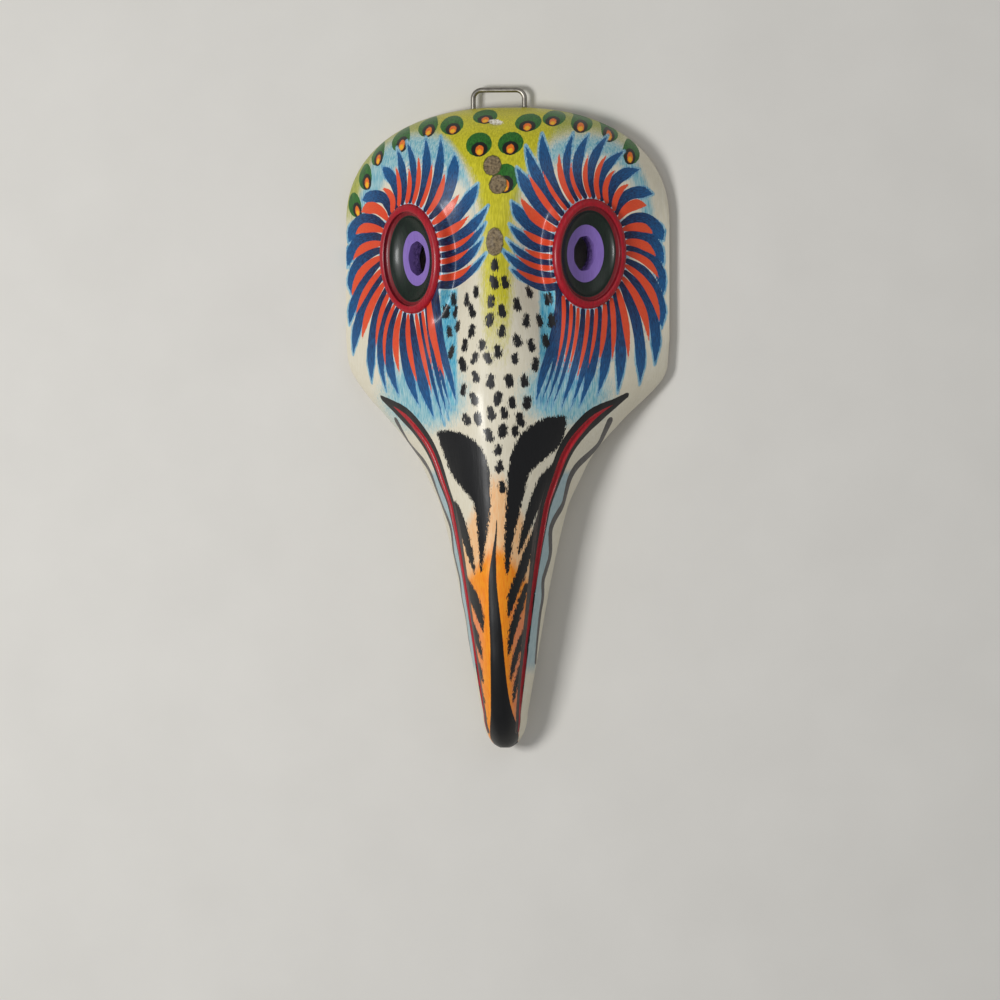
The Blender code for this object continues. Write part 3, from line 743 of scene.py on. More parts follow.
def carve_mask(painted, bare):
    """The whole carving: the dense front, then beads, and then every cut."""
    points, arc = front_grid()
    points = knife_work(points, arc)
    mask = lofted("carved_mask", mask_rings(points), painted)
    combine(mask, [rim_bead(side, painted) for side in SIDES], "UNION")
    cutters = [hollow(bare)]
    for side in SIDES:
        cutters.append(bowl(side, STEP_HALF_WIDTH, STEP_HALF_HEIGHT, STEP_DEPTH, painted))
        cutters.append(bowl(side, DISH_HALF_WIDTH, DISH_HALF_HEIGHT, DISH_DEPTH, painted))
        cutters.append(mouth_groove(side, painted))
        cutters.append(pupil_bore(side, painted))
        cutters.append(socket_rod(side, bare))
    combine(mask, cutters, "DIFFERENCE")
    return mask, points, arc


def spot(column, row):
    """A place of the photograph's frame, in mm right of the middle and mm up, as the camera sees it."""
    return ((column - MIDDLE_PX) * MM_PER_PX, (MID_LENGTH_PX - row) * MM_PER_PX)


def eased(rows):
    """A line of measured places, with its corners rounded off."""
    rows = np.array(rows, dtype=float)
    for _ in range(2):
        pairs = np.stack((CORNER_FAR * rows[:-1] + CORNER_NEAR * rows[1:],
                          CORNER_NEAR * rows[:-1] + CORNER_FAR * rows[1:]), axis=1)
        rows = np.vstack((rows[:1], pairs.reshape(-1, rows.shape[1]), rows[-1:]))
    return rows


def seen_across(points):
    return (points[..., 0] * cos(CAMERA_YAW) - points[..., 2] * sin(CAMERA_YAW)) / MM


class Paint:
    """What is painted where. Each field says how many mm deep in its paint a point of the wood lies."""

    def __init__(self, mesh, points, arc):
        self.row_y = points[:, 0, 1] / MM
        self.row_seen = np.maximum.accumulate(seen_across(points), axis=1)
        self.row_arc = arc / MM
        self.row_lean = self.lean_of(points)
        places = np.empty(len(mesh.vertices) * 3)
        mesh.vertices.foreach_get("co", places)
        self.places = places.reshape(-1, 3)
        self.wood = np.column_stack((self.arc_of(points, arc), self.places[:, 1] / MM))
        self.column = seen_across(self.places) / MM_PER_PX + MIDDLE_PX
        self.row = MID_LENGTH_PX - self.wood[:, 1] / MM_PER_PX
        self.fields = {"run": np.zeros(len(self.places)), "lane": np.zeros(len(self.places))}
        self.best = np.full(len(self.places), FAR_OUT)
        self.jaw_line = {}
        self.on_bill = None

    def arc_of(self, points, arc):
        """How far each vertex lies from the ridge over the wood, from the nearest point of the grid."""
        flat = points.reshape(-1, 3)
        values = arc.reshape(-1) / MM
        tree = KDTree(len(flat))
        for k, point in enumerate(flat.tolist()):
            tree.insert(point, k)
        tree.balance()
        return np.array([values[tree.find(place)[1]] for place in self.places.tolist()])

    def lean_of(self, points):
        """How much shorter a mm up the wood looks from the front, where the crown rolls away."""
        upward = np.gradient(points, axis=0)
        return np.abs(upward[..., 1]) / np.hypot(upward[..., 1], upward[..., 2])

    def field(self, name):
        if name not in self.fields:
            self.fields[name] = np.full(len(self.places), FAR_OUT)
        return self.fields[name]

    def add(self, name, depth):
        np.maximum(self.field(name), depth, out=self.fields[name])

    def on_wood(self, line):
        """Carries places that the camera sees to the wood: mm from the ridge over the wood, and mm up."""
        made = []
        for x, y in line:
            row = min(max(float(np.interp(y, self.row_y, np.arange(ROWS))), 0.0), LAST_ROW)
            low = int(row)
            values = [float(np.interp(x, self.row_seen[k], self.row_arc[k])) for k in (low, low + 1)]
            made.append((values[0] + (values[1] - values[0]) * (row - low), y))
        return np.array(made)

    def spots_on_wood(self, rows):
        return self.on_wood([spot(row[0], row[1]) for row in rows])

    def near(self, line, reach):
        """The vertices in the box round a line, made wider by the reach."""
        inside = (self.wood > line.min(axis=0) - reach) & (self.wood < line.max(axis=0) + reach)
        return np.flatnonzero(inside.all(axis=1))

    def stroke(self, name, rows, lane=None):
        """A brush stroke given in pixels, each row with half its width there."""
        rows = eased(rows)
        self.brush(name, self.spots_on_wood(rows), rows[:, 2] * MM_PER_PX, lane)

    def brush(self, name, line, halves, lane=None):
        """One stroke along a line of places on the wood, half as wide as told at each of them."""
        field = self.field(name)
        near = self.near(line, max(halves) + STROKE_REACH_MM)
        best = np.full(len(near), FAR_OUT)
        run = np.zeros(len(near))
        across = np.zeros(len(near))
        travelled = 0.0
        for k in range(len(line) - 1):
            ahead = line[k + 1] - line[k]
            length = max(float(np.hypot(*ahead)), SHORTEST_MM)
            away = self.wood[near] - line[k]
            t = np.clip(away @ ahead / length ** 2, 0, 1)
            off = away - t[:, None] * ahead
            depth = halves[k] + (halves[k + 1] - halves[k]) * t - np.hypot(off[:, 0], off[:, 1])
            better = depth > best
            best[better] = depth[better]
            run[better] = (travelled + t * length)[better]
            across[better] = ((ahead[0] * off[:, 1] - ahead[1] * off[:, 0]) / length)[better]
            travelled += length
        field[near] = np.maximum(field[near], best)
        if lane is not None:
            better = best > self.best[near]
            chosen = near[better]
            self.best[chosen] = best[better]
            self.fields["run"][chosen] = run[better] / travelled
            self.fields["lane"][chosen] = across[better] + lane

    def blob(self, name, centre, half_across, half_up, turn=0.0, lean=1.0):
        """An oval of paint, its sizes in mm over the wood."""
        away = (self.wood - centre) / (1.0, lean)
        across = (away[:, 0] * cos(turn) + away[:, 1] * sin(turn)) / half_across
        up = (away[:, 1] * cos(turn) - away[:, 0] * sin(turn)) / half_up
        self.add(name, (1 - np.hypot(across, up)) * min(half_across, half_up))

    def patch(self, name, outline):
        """A patch filled up to a closed outline."""
        outline = np.asarray(outline)
        near = self.near(outline, PATCH_REACH_MM)
        here = self.wood[near]
        nearest = np.full(len(near), -FAR_OUT)
        inside = np.zeros(len(near), dtype=bool)
        for first, second in zip(outline, np.roll(outline, -1, axis=0)):
            ahead = second - first
            away = here - first
            t = np.clip(away @ ahead / max(float(ahead @ ahead), NIL_MM), 0, 1)
            off = away - t[:, None] * ahead
            nearest = np.minimum(nearest, np.hypot(off[:, 0], off[:, 1]))
            spans = (first[1] > here[:, 1]) != (second[1] > here[:, 1])
            if abs(ahead[1]) > NIL_MM:
                crossing = first[0] + ahead[0] * (here[:, 1] - first[1]) / ahead[1]
                inside ^= spans & (here[:, 0] < crossing)
        field = self.field(name)
        field[near] = np.maximum(field[near], np.where(inside, nearest, -nearest))


def feather_line(side, table, turn):
    """A feather's line as the camera sees it: from its root at the bead to its tip."""
    angles = [row[0] for row in table]
    out, up, bow = (float(along(list(zip(angles, column)), turn)) for column in list(zip(*table))[1:])
    centre = EYE_FRAMES[side][:3, 3]
    middle = np.array((seen_across(centre), centre[1] / MM))
    gap = FEATHER_GAP * MM + RIM_BEAD
    root = eye_points(side, [(side * (RIM_HALF_WIDTH + gap) * cos(radians(turn)),
                              (RIM_HALF_HEIGHT + gap) * sin(radians(turn)), 0.0)])[0]
    start = np.array((seen_across(root), root[1] / MM))
    tip = middle + np.array((side * out, up))
    chord = tip - start
    bend = start + BOW_PLACE * chord + 2 * bow * side * np.array((-chord[1], chord[0]))
    t = np.linspace(0, 1, FEATHER_POINTS)[:, None]
    return (1 - t) ** 2 * start + 2 * t * (1 - t) * bend + t * t * tip


def paint_feathers(paint):
    """Navy feathers round both eyes, with shorter orange ones in the gaps between them."""
    draw = np.random.default_rng(11)
    shares = np.linspace(0, 1, FEATHER_POINTS)
    for side in SIDES:
        table = FEATHERS[side]
        count = 2 * FEATHER_COUNT[side] - 1
        turns = np.linspace(table[0][0], table[-1][0], count) + draw.uniform(-ROOT_WANDER, ROOT_WANDER, count)
        lines = [paint.on_wood(feather_line(side, table, turn)) for turn in turns]
        for k in range(1, count - 1):
            steps = np.hypot(*(lines[k + 1] - lines[k - 1]).T) / 2
            width = draw.uniform(*STROKE_WIDTHS)
            if k % 2 == 1:
                stop = ORANGE_SHARE * draw.uniform(*ORANGE_LENGTHS)
                if k == 1:
                    continue
                line = np.column_stack([np.interp(shares * stop, shares, lines[k][:, c]) for c in (0, 1)])
                room = np.interp(shares * stop, shares, steps)
                halves = np.minimum(FEATHER_HALF_MM, room * along(ORANGE_FILL, shares)) * width
                paint.brush("feather_orange", line, halves, lane=LANE_MM * k)
            else:
                halves = np.minimum(FEATHER_HALF_MM, steps * along(NAVY_FILL, shares)) * width
                paint.brush("feather_navy", lines[k], halves, lane=LANE_MM * k)
    for k, rows in enumerate(BROAD_FEATHERS_PX):
        paint.stroke("feather_navy", rows, BROAD_LANES + LANE_MM * k)
    paint.stroke("feather_orange", BROAD_ORANGE_PX, ORANGE_LANES)
    outer = np.clip((paint.fields["run"] - FRINGE_START) / FRINGE_START, 0, 1)
    paint.add("fringe_blue", paint.fields["feather_navy"] + FRINGE_MM * (2 * outer - 1))


def paint_eyes(paint):
    """The red bead and step, the dark green dish, the purple iris and bore, and a pale ring outside them."""
    for side in SIDES:
        matrix = EYE_FRAMES[side]
        away = (paint.places - matrix[:3, 3]) @ matrix[:3, :3] / MM
        here = (np.abs(away[:, 2]) < EYE_DEPTH_MM) & (paint.places[:, 0] * side > 0)
        here &= paint.places[:, 2] > EYE_LOWEST
        iris_across, iris_up = IRIS_HALF_MM[side]
        # Each part's half width, its half height and how many mm its paint reaches over them
        for name, across, up, over in (
            ("halo", RIM_HALF_WIDTH + RIM_BEAD, RIM_HALF_HEIGHT + RIM_BEAD, 3.1),
            ("bead_red", RIM_HALF_WIDTH + RIM_BEAD, RIM_HALF_HEIGHT + RIM_BEAD, 0.1),
            ("step_red", STEP_HALF_WIDTH, STEP_HALF_HEIGHT, 0.15),
            ("dish_green", DISH_HALF_WIDTH, DISH_HALF_HEIGHT, 0.2),
            ("iris_purple", iris_across * MM, iris_up * MM, 0.0),
            ("bore_purple", PUPIL_HALF_WIDTH, PUPIL_HALF_HEIGHT, 0.3),
        ):
            reach = np.hypot(away[:, 0] / (across / MM), away[:, 1] / (up / MM))
            depth = (1 - reach) * (across + up) / MM / 2 + over
            if name == "bore_purple":
                depth = np.minimum(depth, -away[:, 2] - DISH_DEPTH / MM + BORE_TOP_MM)
            paint.add(name, np.where(here, depth, FAR_OUT))


def paint_eyespots(paint):
    """Green spots with a black crescent and a flame, strewn over the crown."""
    for column, row, size in EYESPOTS_PX:
        centre = paint.spots_on_wood([(column, row)])[0]
        at_row = int(np.interp(centre[1], paint.row_y, np.arange(ROWS)))
        at_column = int(np.interp(centre[0], paint.row_arc[at_row], np.arange(2 * COLUMNS + 1)))
        lean = max(EYESPOT_LEAN, float(paint.row_lean[at_row, at_column]))
        wide, high = size * EYESPOT_HALF_MM[0], size * EYESPOT_HALF_MM[1]
        inward = -np.clip(centre[0] / EYESPOT_SIDE_MM, -1, 1)
        paint.blob("spot_green", centre, wide, high, EYESPOT_TURN * inward, lean)
        for name, (aside, down, share_across, share_up) in (
            ("spot_black", EYE_BLACK), ("spot_flame", EYE_FLAME), ("spot_yolk", EYE_YOLK),
        ):
            shift = np.array(((EYESPOT_LOOK * inward + aside) * wide / 2, down * high * lean))
            paint.blob(name, centre + shift, share_across * wide, share_up * high, 0.0, lean)


def paint_dashes(paint):
    """Short black touches of a loaded brush down the snout."""
    draw = np.random.default_rng(23)
    for row, columns in DASHES_PX:
        for column in columns:
            lean = draw.uniform(*DASH_LEANS_PX)
            size = draw.uniform(*DASH_SIZES)
            wide, high = DASH_HALF_PX[0] * size, (DASH_HALF_PX[1] - DASH_HALF_PX[0]) * size
            line = paint.spots_on_wood([(column - lean, row + high), (column + lean, row - high)])
            paint.brush("black", line, [wide * MM_PER_PX, wide * MM_PER_PX * draw.uniform(*DASH_TAPERS)])


def mouth_line(side):
    """The middle of the mouth line as the camera sees it, from its corner to its lower end."""
    places = np.linspace(TIP_Y + MOUTH_TOP, TIP_Y + MOUTH_FOOT, MOUTH_POINTS)
    return np.array([(float(seen_across(on_mouth(side, y))), y / MM) for y in places])


def paint_mouth(paint):
    """The red mouth line between black lips, a grey band of painted sheen over it and the wavy grey line
    below it.
    """
    wave = paint.spots_on_wood(eased(WAVE_PX))
    wave_halves = np.linspace(*WAVE_HALF_MM, len(wave))
    for side in SIDES:
        line = paint.on_wood(mouth_line(side))
        shares = np.linspace(0, 1, len(line))
        red = along(MOUTH_HALF_MM, shares)
        lips = along(LIP_MM, shares)
        paint.brush("mouth_red", line, red)
        raised = line + np.outer(np.minimum(lips, LIP_FULL_MM) / LIP_FULL_MM * LIP_RAISE_MM, (-side, LIP_UP))
        paint.brush("lip", raised, np.maximum(red, 0) + lips)
        tip = paint.spots_on_wood([LIP_TIPS_PX[side]])
        paint.brush("lip", np.vstack((tip, line[LIP_TIP_POINTS, :])), LIP_TIP_HALF_MM)
        # a grey band of painted sheen: the black barbs drawn grey where the bill's steep side reflects the
        # room
        band = line + np.outer(np.maximum(red, 0) + lips + SHEEN_BAND_GAP_MM, (-side, 0.0))
        paint.brush("grey_sheen_band", band, along(SHEEN_BAND_MM, shares))
        side_wave = wave * (side, 1)
        paint.brush("grey_line", side_wave, wave_halves)
        paint.jaw_line[side] = (line, side_wave)
    wall = paint.places[:, 2] < edge_height(paint.places[:, 1]) - UNDER_EDGE
    paint.fields["grey_line"][wall] = FAR_OUT


def paint_bill(paint):
    """Black wedges and barbs over the bill, and the stripe that widens to the black tip."""
    for outline in WEDGES_PX:
        paint.patch("black", paint.spots_on_wood(eased(outline)))
    paint.stroke("culmen", CULMEN_PX)
    for rows in BARBS_PX:
        paint.stroke("black", rows)
    paint.fields["black"] = np.minimum(paint.fields["black"], paint.on_bill + BLACK_OVER_MM)


def paint_washes(paint):
    """Thin colours brushed over the cream ground. Their fields run from about -5 to 5 mm."""
    column, row = paint.column, paint.row
    above = paint.places[:, 2] > WASH_LOWEST
    reaches = {}
    for side, (middle, up, wide, high) in PLUMES_PX.items():
        powers = np.abs((column - middle) / wide) ** PLUME_POWER + np.abs((row - up) / high) ** PLUME_POWER
        reaches[side] = powers ** (1 / PLUME_POWER)
    clear = np.minimum(reaches[1], reaches[-1]) - 1
    aside = np.abs(column - OLIVE_MIDDLE_PX)
    olive = np.minimum((OLIVE_REACH_PX - aside) / OLIVE_SOFT_PX[0], (OLIVE_FOOT_PX - row) / OLIVE_SOFT_PX[1])
    slope, over = OLIVE_OVER_PLUMES
    olive = np.minimum(olive, clear * slope + over)
    paint.add("olive_wash", np.where(above, np.minimum(olive, OLIVE_DEEPEST_MM), FAR_OUT))
    half = np.interp(row, *np.array(YELLOW_HALF_PX).T)
    yellow = (half - np.abs(column - YELLOW_MIDDLE_PX)) * YELLOW_SLOPE
    yellow = np.minimum(yellow, (YELLOW_FOOT_PX - row) / YELLOW_SOFT_PX)
    slope, over = YELLOW_OVER_PLUMES
    paint.add("yellow_wash", np.where(above, np.minimum(yellow, clear * slope + over), FAR_OUT))
    for side, (middle, up, wide, high) in PLUMES_PX.items():
        outward = side * (column - middle) / wide
        upward = (up - row) / high
        ring = RING_BLUE[side] - np.abs(reaches[side] - RING_PLACE) * RING_SLOPE
        ring -= RING_FADE * np.clip(RING_LOW - upward, 0, 1) + RING_FADE * np.clip(RING_INNER - outward, 0, 1)
        paint.add("blue_wash", np.where(above, ring, FAR_OUT))
    for middle, up, wide, high in LOW_TIPS_PX:
        tips = LOW_TIPS_DEEPEST_MM * (1 - np.hypot((column - middle) / wide, (row - up) / high))
        paint.add("blue_wash", np.where(above, tips, FAR_OUT))
    top, foot = STRIP_ROWS_PX
    side_soft, top_soft, foot_soft = STRIP_SOFT_PX
    for middle, half_strip in STRIPS_PX:
        strip = np.minimum((half_strip - np.abs(column - middle)) / side_soft, (row - top) / top_soft)
        paint.add("cyan_strip", np.minimum(strip, (foot - row) / foot_soft))
    paint_bill_washes(paint, column, row)


def paint_bill_washes(paint, column, row):
    """The warm washes of the bill, and the pale blue of the jaw between the mouth and the grey line."""
    across, up = paint.wood.T
    on_bill = np.full(len(across), -FAR_OUT)
    for side, (mouth, wave) in paint.jaw_line.items():
        beyond = side * across - np.interp(up, mouth[::-1, 1], side * mouth[::-1, 0])
        inside_wave = np.interp(up, wave[::-1, 1], side * wave[::-1, 0]) - side * across
        jaw = np.minimum(np.minimum(beyond, inside_wave), (row - JAW_BLUE_ROWS_PX[0]) / JAW_BLUE_SOFT_PX[0])
        paint.add("jaw_blue", np.minimum(jaw, (JAW_BLUE_ROWS_PX[1] - row) / JAW_BLUE_SOFT_PX[1]))
        on_bill = np.minimum(on_bill, -beyond)
    paint.on_bill = on_bill
    off_middle = np.maximum(0, np.abs(column - BILL_MIDDLE_PX) - BILL_RIDGE_PX)
    for name, start, lower, soft in BILL_WASHES_PX:
        paint.add(name, np.minimum(on_bill, (row - start - lower * off_middle) / soft))
    salmon = np.minimum((row - SALMON_ROW_PX) / SALMON_SOFT_PX[0],
                        (off_middle - SALMON_ASIDE_PX) / SALMON_SOFT_PX[1])
    paint.add("salmon_wash", np.minimum(on_bill, salmon))


def paint_knots(paint):
    for column, row, across, up in KNOTS_PX:
        centre = paint.spots_on_wood([(column, row)])[0]
        paint.blob("knot_rim", centre, across * MM_PER_PX + KNOT_RIM_MM, up * MM_PER_PX + KNOT_RIM_MM)
        paint.blob("knot", centre, across * MM_PER_PX, up * MM_PER_PX)
    column, row, across, up = CHIP_PX
    paint.blob("chip", paint.spots_on_wood([(column, row)])[0], across * MM_PER_PX, up * MM_PER_PX, CHIP_TURN)


def paint_back(paint):
    """The bare wood of the flat back, and the thin line along the rim where the paint stops."""
    paint.add("bare_edge", BARE_EDGE_MM - paint.places[:, 2] / MM)


def lay_paint(mask, points, arc):
    paint = Paint(mask.data, points, arc)
    paint_mouth(paint)
    paint_washes(paint)
    paint_feathers(paint)
    paint_eyes(paint)
    paint_eyespots(paint)
    paint_knots(paint)
    paint_dashes(paint)
    paint_bill(paint)
    paint_back(paint)
    for name, values in paint.fields.items():
        stored = mask.data.attributes.new(name, "FLOAT", "POINT")
        stored.data.foreach_set("value", np.clip(values, *FIELD_RANGE).astype(np.float32))


def linear(code):
    """A colour written as sRGB hex, as the linear values that a shader takes."""
    made = []
    for k in (1, 3, 5):
        value = int(code[k:k + 2], 16) / 255
        made.append(value / 12.92 if value <= 0.04045 else ((value + 0.055) / 1.055) ** 2.4)
    return (*made, 1.0)


def add(tree, kind, inputs=None, out=0, **settings):
    """Adds a node with its settings and links, and gives back the output that is asked for."""
    made = tree.nodes.new("ShaderNode" + kind)
    for name, value in settings.items():
        setattr(made, name, value)
    for slot, value in (inputs or {}).items():
        if isinstance(value, bpy.types.NodeSocket):
            tree.links.new(value, made.inputs[slot])
        else:
            made.inputs[slot].default_value = value
    return made.outputs[out]


def new_material(name, roughness, metallic=0.0):
    made = bpy.data.materials.new(name)
    made.use_nodes = True
    shader = made.node_tree.nodes["Principled BSDF"]
    shader.inputs["Roughness"].default_value = roughness
    shader.inputs["Metallic"].default_value = metallic
    return made, made.node_tree, shader


def grains(tree, table):
    """The uneven patterns of one finish, each with its grain's size in mm along X, Y and Z."""
    place = add(tree, "TexCoord", out="Object")
    made = {}
    for name, (size_mm, detail, rough) in table.items():
        scaled = add(tree, "Mapping", {"Vector": place, "Scale": [1 / (size * MM) for size in size_mm]})
        made[name] = add(tree, "TexNoise",
                         {"Vector": scaled, "Scale": 1.0, "Detail": detail, "Roughness": rough})
    return made


# Each paint, from the first laid on to the last: its field, its deep and its light colour, how far its
# edge wanders (mm), how softly it ends (mm), how much its colour streaks, and the mark of its brush
PAINTS = (
    ("olive_wash", "#8C942C", "#BEC058", 5.0, 3.2, 0.9, "dry"),
    ("yellow_wash", "#B0A90F", "#DCD22E", 4.5, 2.6, 1.1, "dry"),
    ("blue_wash", "#4FA3B8", "#BAD6D4", 5.0, 2.4, 1.1, "dry"),
    ("cyan_strip", "#2295BC", "#86C8D3", 3.2, 1.4, 1.5, "dry"),
    ("peach_wash", "#F2B071", "#F3CFA0", 4.5, 3.2, 0.8, "dry"),
    ("orange_wash", "#F07A00", "#FFA71E", 4.5, 3.0, 0.8, "dry"),
    ("salmon_wash", "#E8763F", "#F49C66", 4.0, 3.0, 0.8, "dry"),
    ("jaw_blue", "#8DABB2", "#B4C8C9", 1.0, 0.8, 0.8, "dry"),
    ("halo", "#5FA9C6", "#E8F0F0", 1.3, 0.5, 1.6, "ragged"),
    ("spot_green", "#0A4A12", "#2F7A24", 0.9, 0.25, 1.2, "ragged"),
    ("spot_black", "#050604", "#15160F", 0.8, 0.25, 0.6, "ragged"),
    ("spot_flame", "#E04E0C", "#F58A1E", 1.0, 0.35, 1.2, "ragged"),
    ("spot_yolk", "#F2A800", "#FFC918", 1.0, 0.9, 0.8, "ragged"),
    ("fringe_blue", "#3E8DB4", "#A9D0DA", 1.6, 0.7, 1.4, "dry"),
    ("feather_navy", "#14183E", "#1B6BA6", 0.5, 0.22, 1.0, "stroke"),
    ("feather_orange", "#DC4420", "#EA6038", 0.5, 0.22, 1.0, "stroke"),
    ("black", "#030304", "#111113", 6.5, 0.3, 0.6, "hairy"),
    ("culmen", "#010102", "#060607", 0.5, 0.25, 0.5, "ragged"),
    # painted sheen rather than a paint of its own: the grey that the black takes on along the bill's sides
    ("grey_sheen_band", "#2A2424", "#574B45", 1.2, 0.5, 1.0, "dry"),
    ("grey_line", "#2F2C2B", "#5C5856", 0.4, 0.25, 0.8, "ragged"),
    ("lip", "#060505", "#171313", 0.5, 0.22, 0.6, "ragged"),
    ("mouth_red", "#8E0012", "#C4041E", 0.4, 0.22, 1.0, "ragged"),
    ("bead_red", "#8A0314", "#B80F26", 0.2, 0.2, 1.0, "ragged"),
    ("step_red", "#5A0810", "#8A1420", 0.3, 0.2, 0.8, "ragged"),
    ("dish_green", "#071009", "#14271A", 0.3, 0.2, 0.9, "ragged"),
    ("iris_purple", "#7D60AE", "#957ACA", 0.15, 0.12, 0.5, "ragged"),
    ("bore_purple", "#4C3876", "#9A7CCB", 0.5, 0.3, 1.8, "ragged"),
    ("knot_rim", "#2C2A14", "#5F5A28", 1.2, 0.5, 1.0, "ragged"),
    ("knot", "#46392A", "#9C8866", 1.6, 0.4, 1.2, "ragged"),
    ("chip", "#B5A88A", "#F4F0E4", 1.4, 0.3, 2.0, "ragged"),
    ("bare_edge", "#B49C78", "#D2BF9C", 0.5, 0.3, 1.0, "ragged"),
)
MOTTLED = ("knot", "chip", "bore_purple")
THIN_PAINTS = 8             # the first of them are washes, with no body of their own
BRUSH_MARKS = {
    "streak": ((0.8, 7.0, 1.2), 3.0, 0.55),
    "ragged": ((1.5, 1.5, 1.5), 4.0, 0.55),
    "broad": ((22.0, 30.0, 22.0), 2.0, 0.55),
    "dry": ((0.6, 3.2, 0.6), 4.0, 0.65),
    "hairy": ((0.5, 4.5, 0.5), 3.0, 0.55),
    "grain": ((1.6, 28.0, 1.6), 3.0, 0.55),
}


def painted_softwood():
    """Carved softwood, brushed with opaque paints and varnished: streaked colour under a clear gloss."""
    made, tree, shader = new_material("brushed_paint_on_carved_softwood", 0.42)
    marks = grains(tree, BRUSH_MARKS)
    run = add(tree, "Attribute", out="Fac", attribute_name="run")
    lane = add(tree, "Attribute", out="Fac", attribute_name="lane")
    along_stroke = add(tree, "Math", {0: run, 1: 8.0}, operation="MULTIPLY")
    in_stroke = add(tree, "CombineXYZ", {"X": lane, "Y": along_stroke})
    bristle = add(tree, "TexNoise", {"Vector": in_stroke, "Scale": 1.9, "Detail": 4.0, "Roughness": 0.6})
    worn = add(tree, "Math", {0: run, 1: 2.4}, operation="POWER")
    dryness = add(tree, "Math", {0: worn, 1: 2.2, 2: 0.22}, operation="MULTIPLY_ADD")
    uneven_bristle = add(tree, "Math", {0: bristle, 1: 0.56}, operation="SUBTRACT")
    stroke_edge = add(tree, "Math", {0: uneven_bristle, 1: dryness}, operation="MULTIPLY")
    bristle_light = add(tree, "Math", {0: bristle, 1: 1.7, 2: -0.86}, operation="MULTIPLY_ADD")
    stroke_light = add(tree, "Math", {0: run, 1: 0.72, 2: bristle_light}, operation="MULTIPLY_ADD",
                       use_clamp=True)
    thin_ground = add(tree, "Math", {0: marks["streak"], 1: 1.6, 2: -0.35}, operation="MULTIPLY_ADD",
                      use_clamp=True)
    ground = add(tree, "Mix", {0: thin_ground, 6: linear("#D9D1B8"), 7: linear("#EBE5D4")}, out=2,
                 data_type="RGBA")
    cloud = add(tree, "Math", {0: marks["broad"], 1: 1.2, 2: -0.35}, operation="MULTIPLY_ADD",
                use_clamp=True)
    colour = add(tree, "Mix", {0: cloud, 6: ground, 7: linear("#DDD3B8")}, out=2, data_type="RGBA")
    body = 0.0
    for k, (field, deep, light, wander, soft, streaks, mark) in enumerate(PAINTS):
        depth = add(tree, "Attribute", out="Fac", attribute_name=field)
        if mark == "stroke":
            waver = stroke_edge
            lighter = stroke_light
        else:
            waver = add(tree, "Math", {0: marks[mark], 1: wander, 2: -wander / 2}, operation="MULTIPLY_ADD")
            tone = marks["ragged" if field in MOTTLED else "streak"]
            lighter = add(tree, "Math", {0: tone, 1: 2 * streaks, 2: 0.5 - streaks}, operation="MULTIPLY_ADD",
                          use_clamp=True)
        edge = add(tree, "Math", {0: depth, 1: waver}, operation="ADD")
        covered = add(tree, "MapRange", {"Value": edge, "From Min": -soft / 2, "From Max": soft / 2})
        shade = add(tree, "Mix", {0: lighter, 6: linear(deep), 7: linear(light)}, out=2, data_type="RGBA")
        colour = add(tree, "Mix", {0: covered, 6: colour, 7: shade}, out=2, data_type="RGBA")
        if k >= THIN_PAINTS:
            body = add(tree, "Math", {0: covered, 1: body}, operation="MAXIMUM")
    tree.links.new(colour, shader.inputs["Base Color"])
    streaked = add(tree, "Math", {0: marks["streak"], 1: 0.05}, operation="MULTIPLY")
    thickness = add(tree, "Math", {0: body, 1: 0.05, 2: streaked}, operation="MULTIPLY_ADD")
    height = add(tree, "Math", {0: marks["grain"], 1: 0.10, 2: thickness}, operation="MULTIPLY_ADD")
    relief = add(tree, "Bump", {"Height": height, "Distance": MM, "Strength": 0.8})
    tree.links.new(relief, shader.inputs["Normal"])
    rough = add(tree, "Math", {0: marks["broad"], 1: 0.14, 2: 0.34}, operation="MULTIPLY_ADD")
    tree.links.new(rough, shader.inputs["Roughness"])
    shader.inputs["Coat Weight"].default_value = 0.16
    shader.inputs["Coat Roughness"].default_value = 0.14
    shader.inputs["IOR"].default_value = 1.42
    return made


def bare_softwood():
    """The same softwood left bare inside: matt, with grain and the facets of a gouge, and browner than the
    bare rim, partly as aged wood and partly as painted shade of the unlit hollow.
    """
    made, tree, shader = new_material("gouged_softwood_aged_and_shade_darkened", 0.78)
    marks = grains(tree, {"bend": ((18.0, 90.0, 18.0), 2.0, 0.55), "rings": ((1.3, 42.0, 1.3), 4.0, 0.55),
                          "facets": ((5.0, 13.0, 5.0), 1.0, 0.55)})
    drift = add(tree, "Math", {0: marks["bend"], 1: 0.6, 2: -0.65}, operation="MULTIPLY_ADD")
    tint = add(tree, "Math", {0: marks["rings"], 1: 1.5, 2: drift}, operation="MULTIPLY_ADD", use_clamp=True)
    # darker browns than the bare rim's: aged wood, and painted shade for the unlit inside seen through the
    # pupils
    colour = add(tree, "Mix", {0: tint, 6: linear("#7A5C3A"), 7: linear("#AE8C5E")}, out=2, data_type="RGBA")
    tree.links.new(colour, shader.inputs["Base Color"])
    fine = add(tree, "Math", {0: marks["rings"], 1: 0.12}, operation="MULTIPLY")
    height = add(tree, "Math", {0: marks["facets"], 1: 0.9, 2: fine}, operation="MULTIPLY_ADD")
    relief = add(tree, "Bump", {"Height": height, "Distance": MM, "Strength": 0.7})
    tree.links.new(relief, shader.inputs["Normal"])
    return made


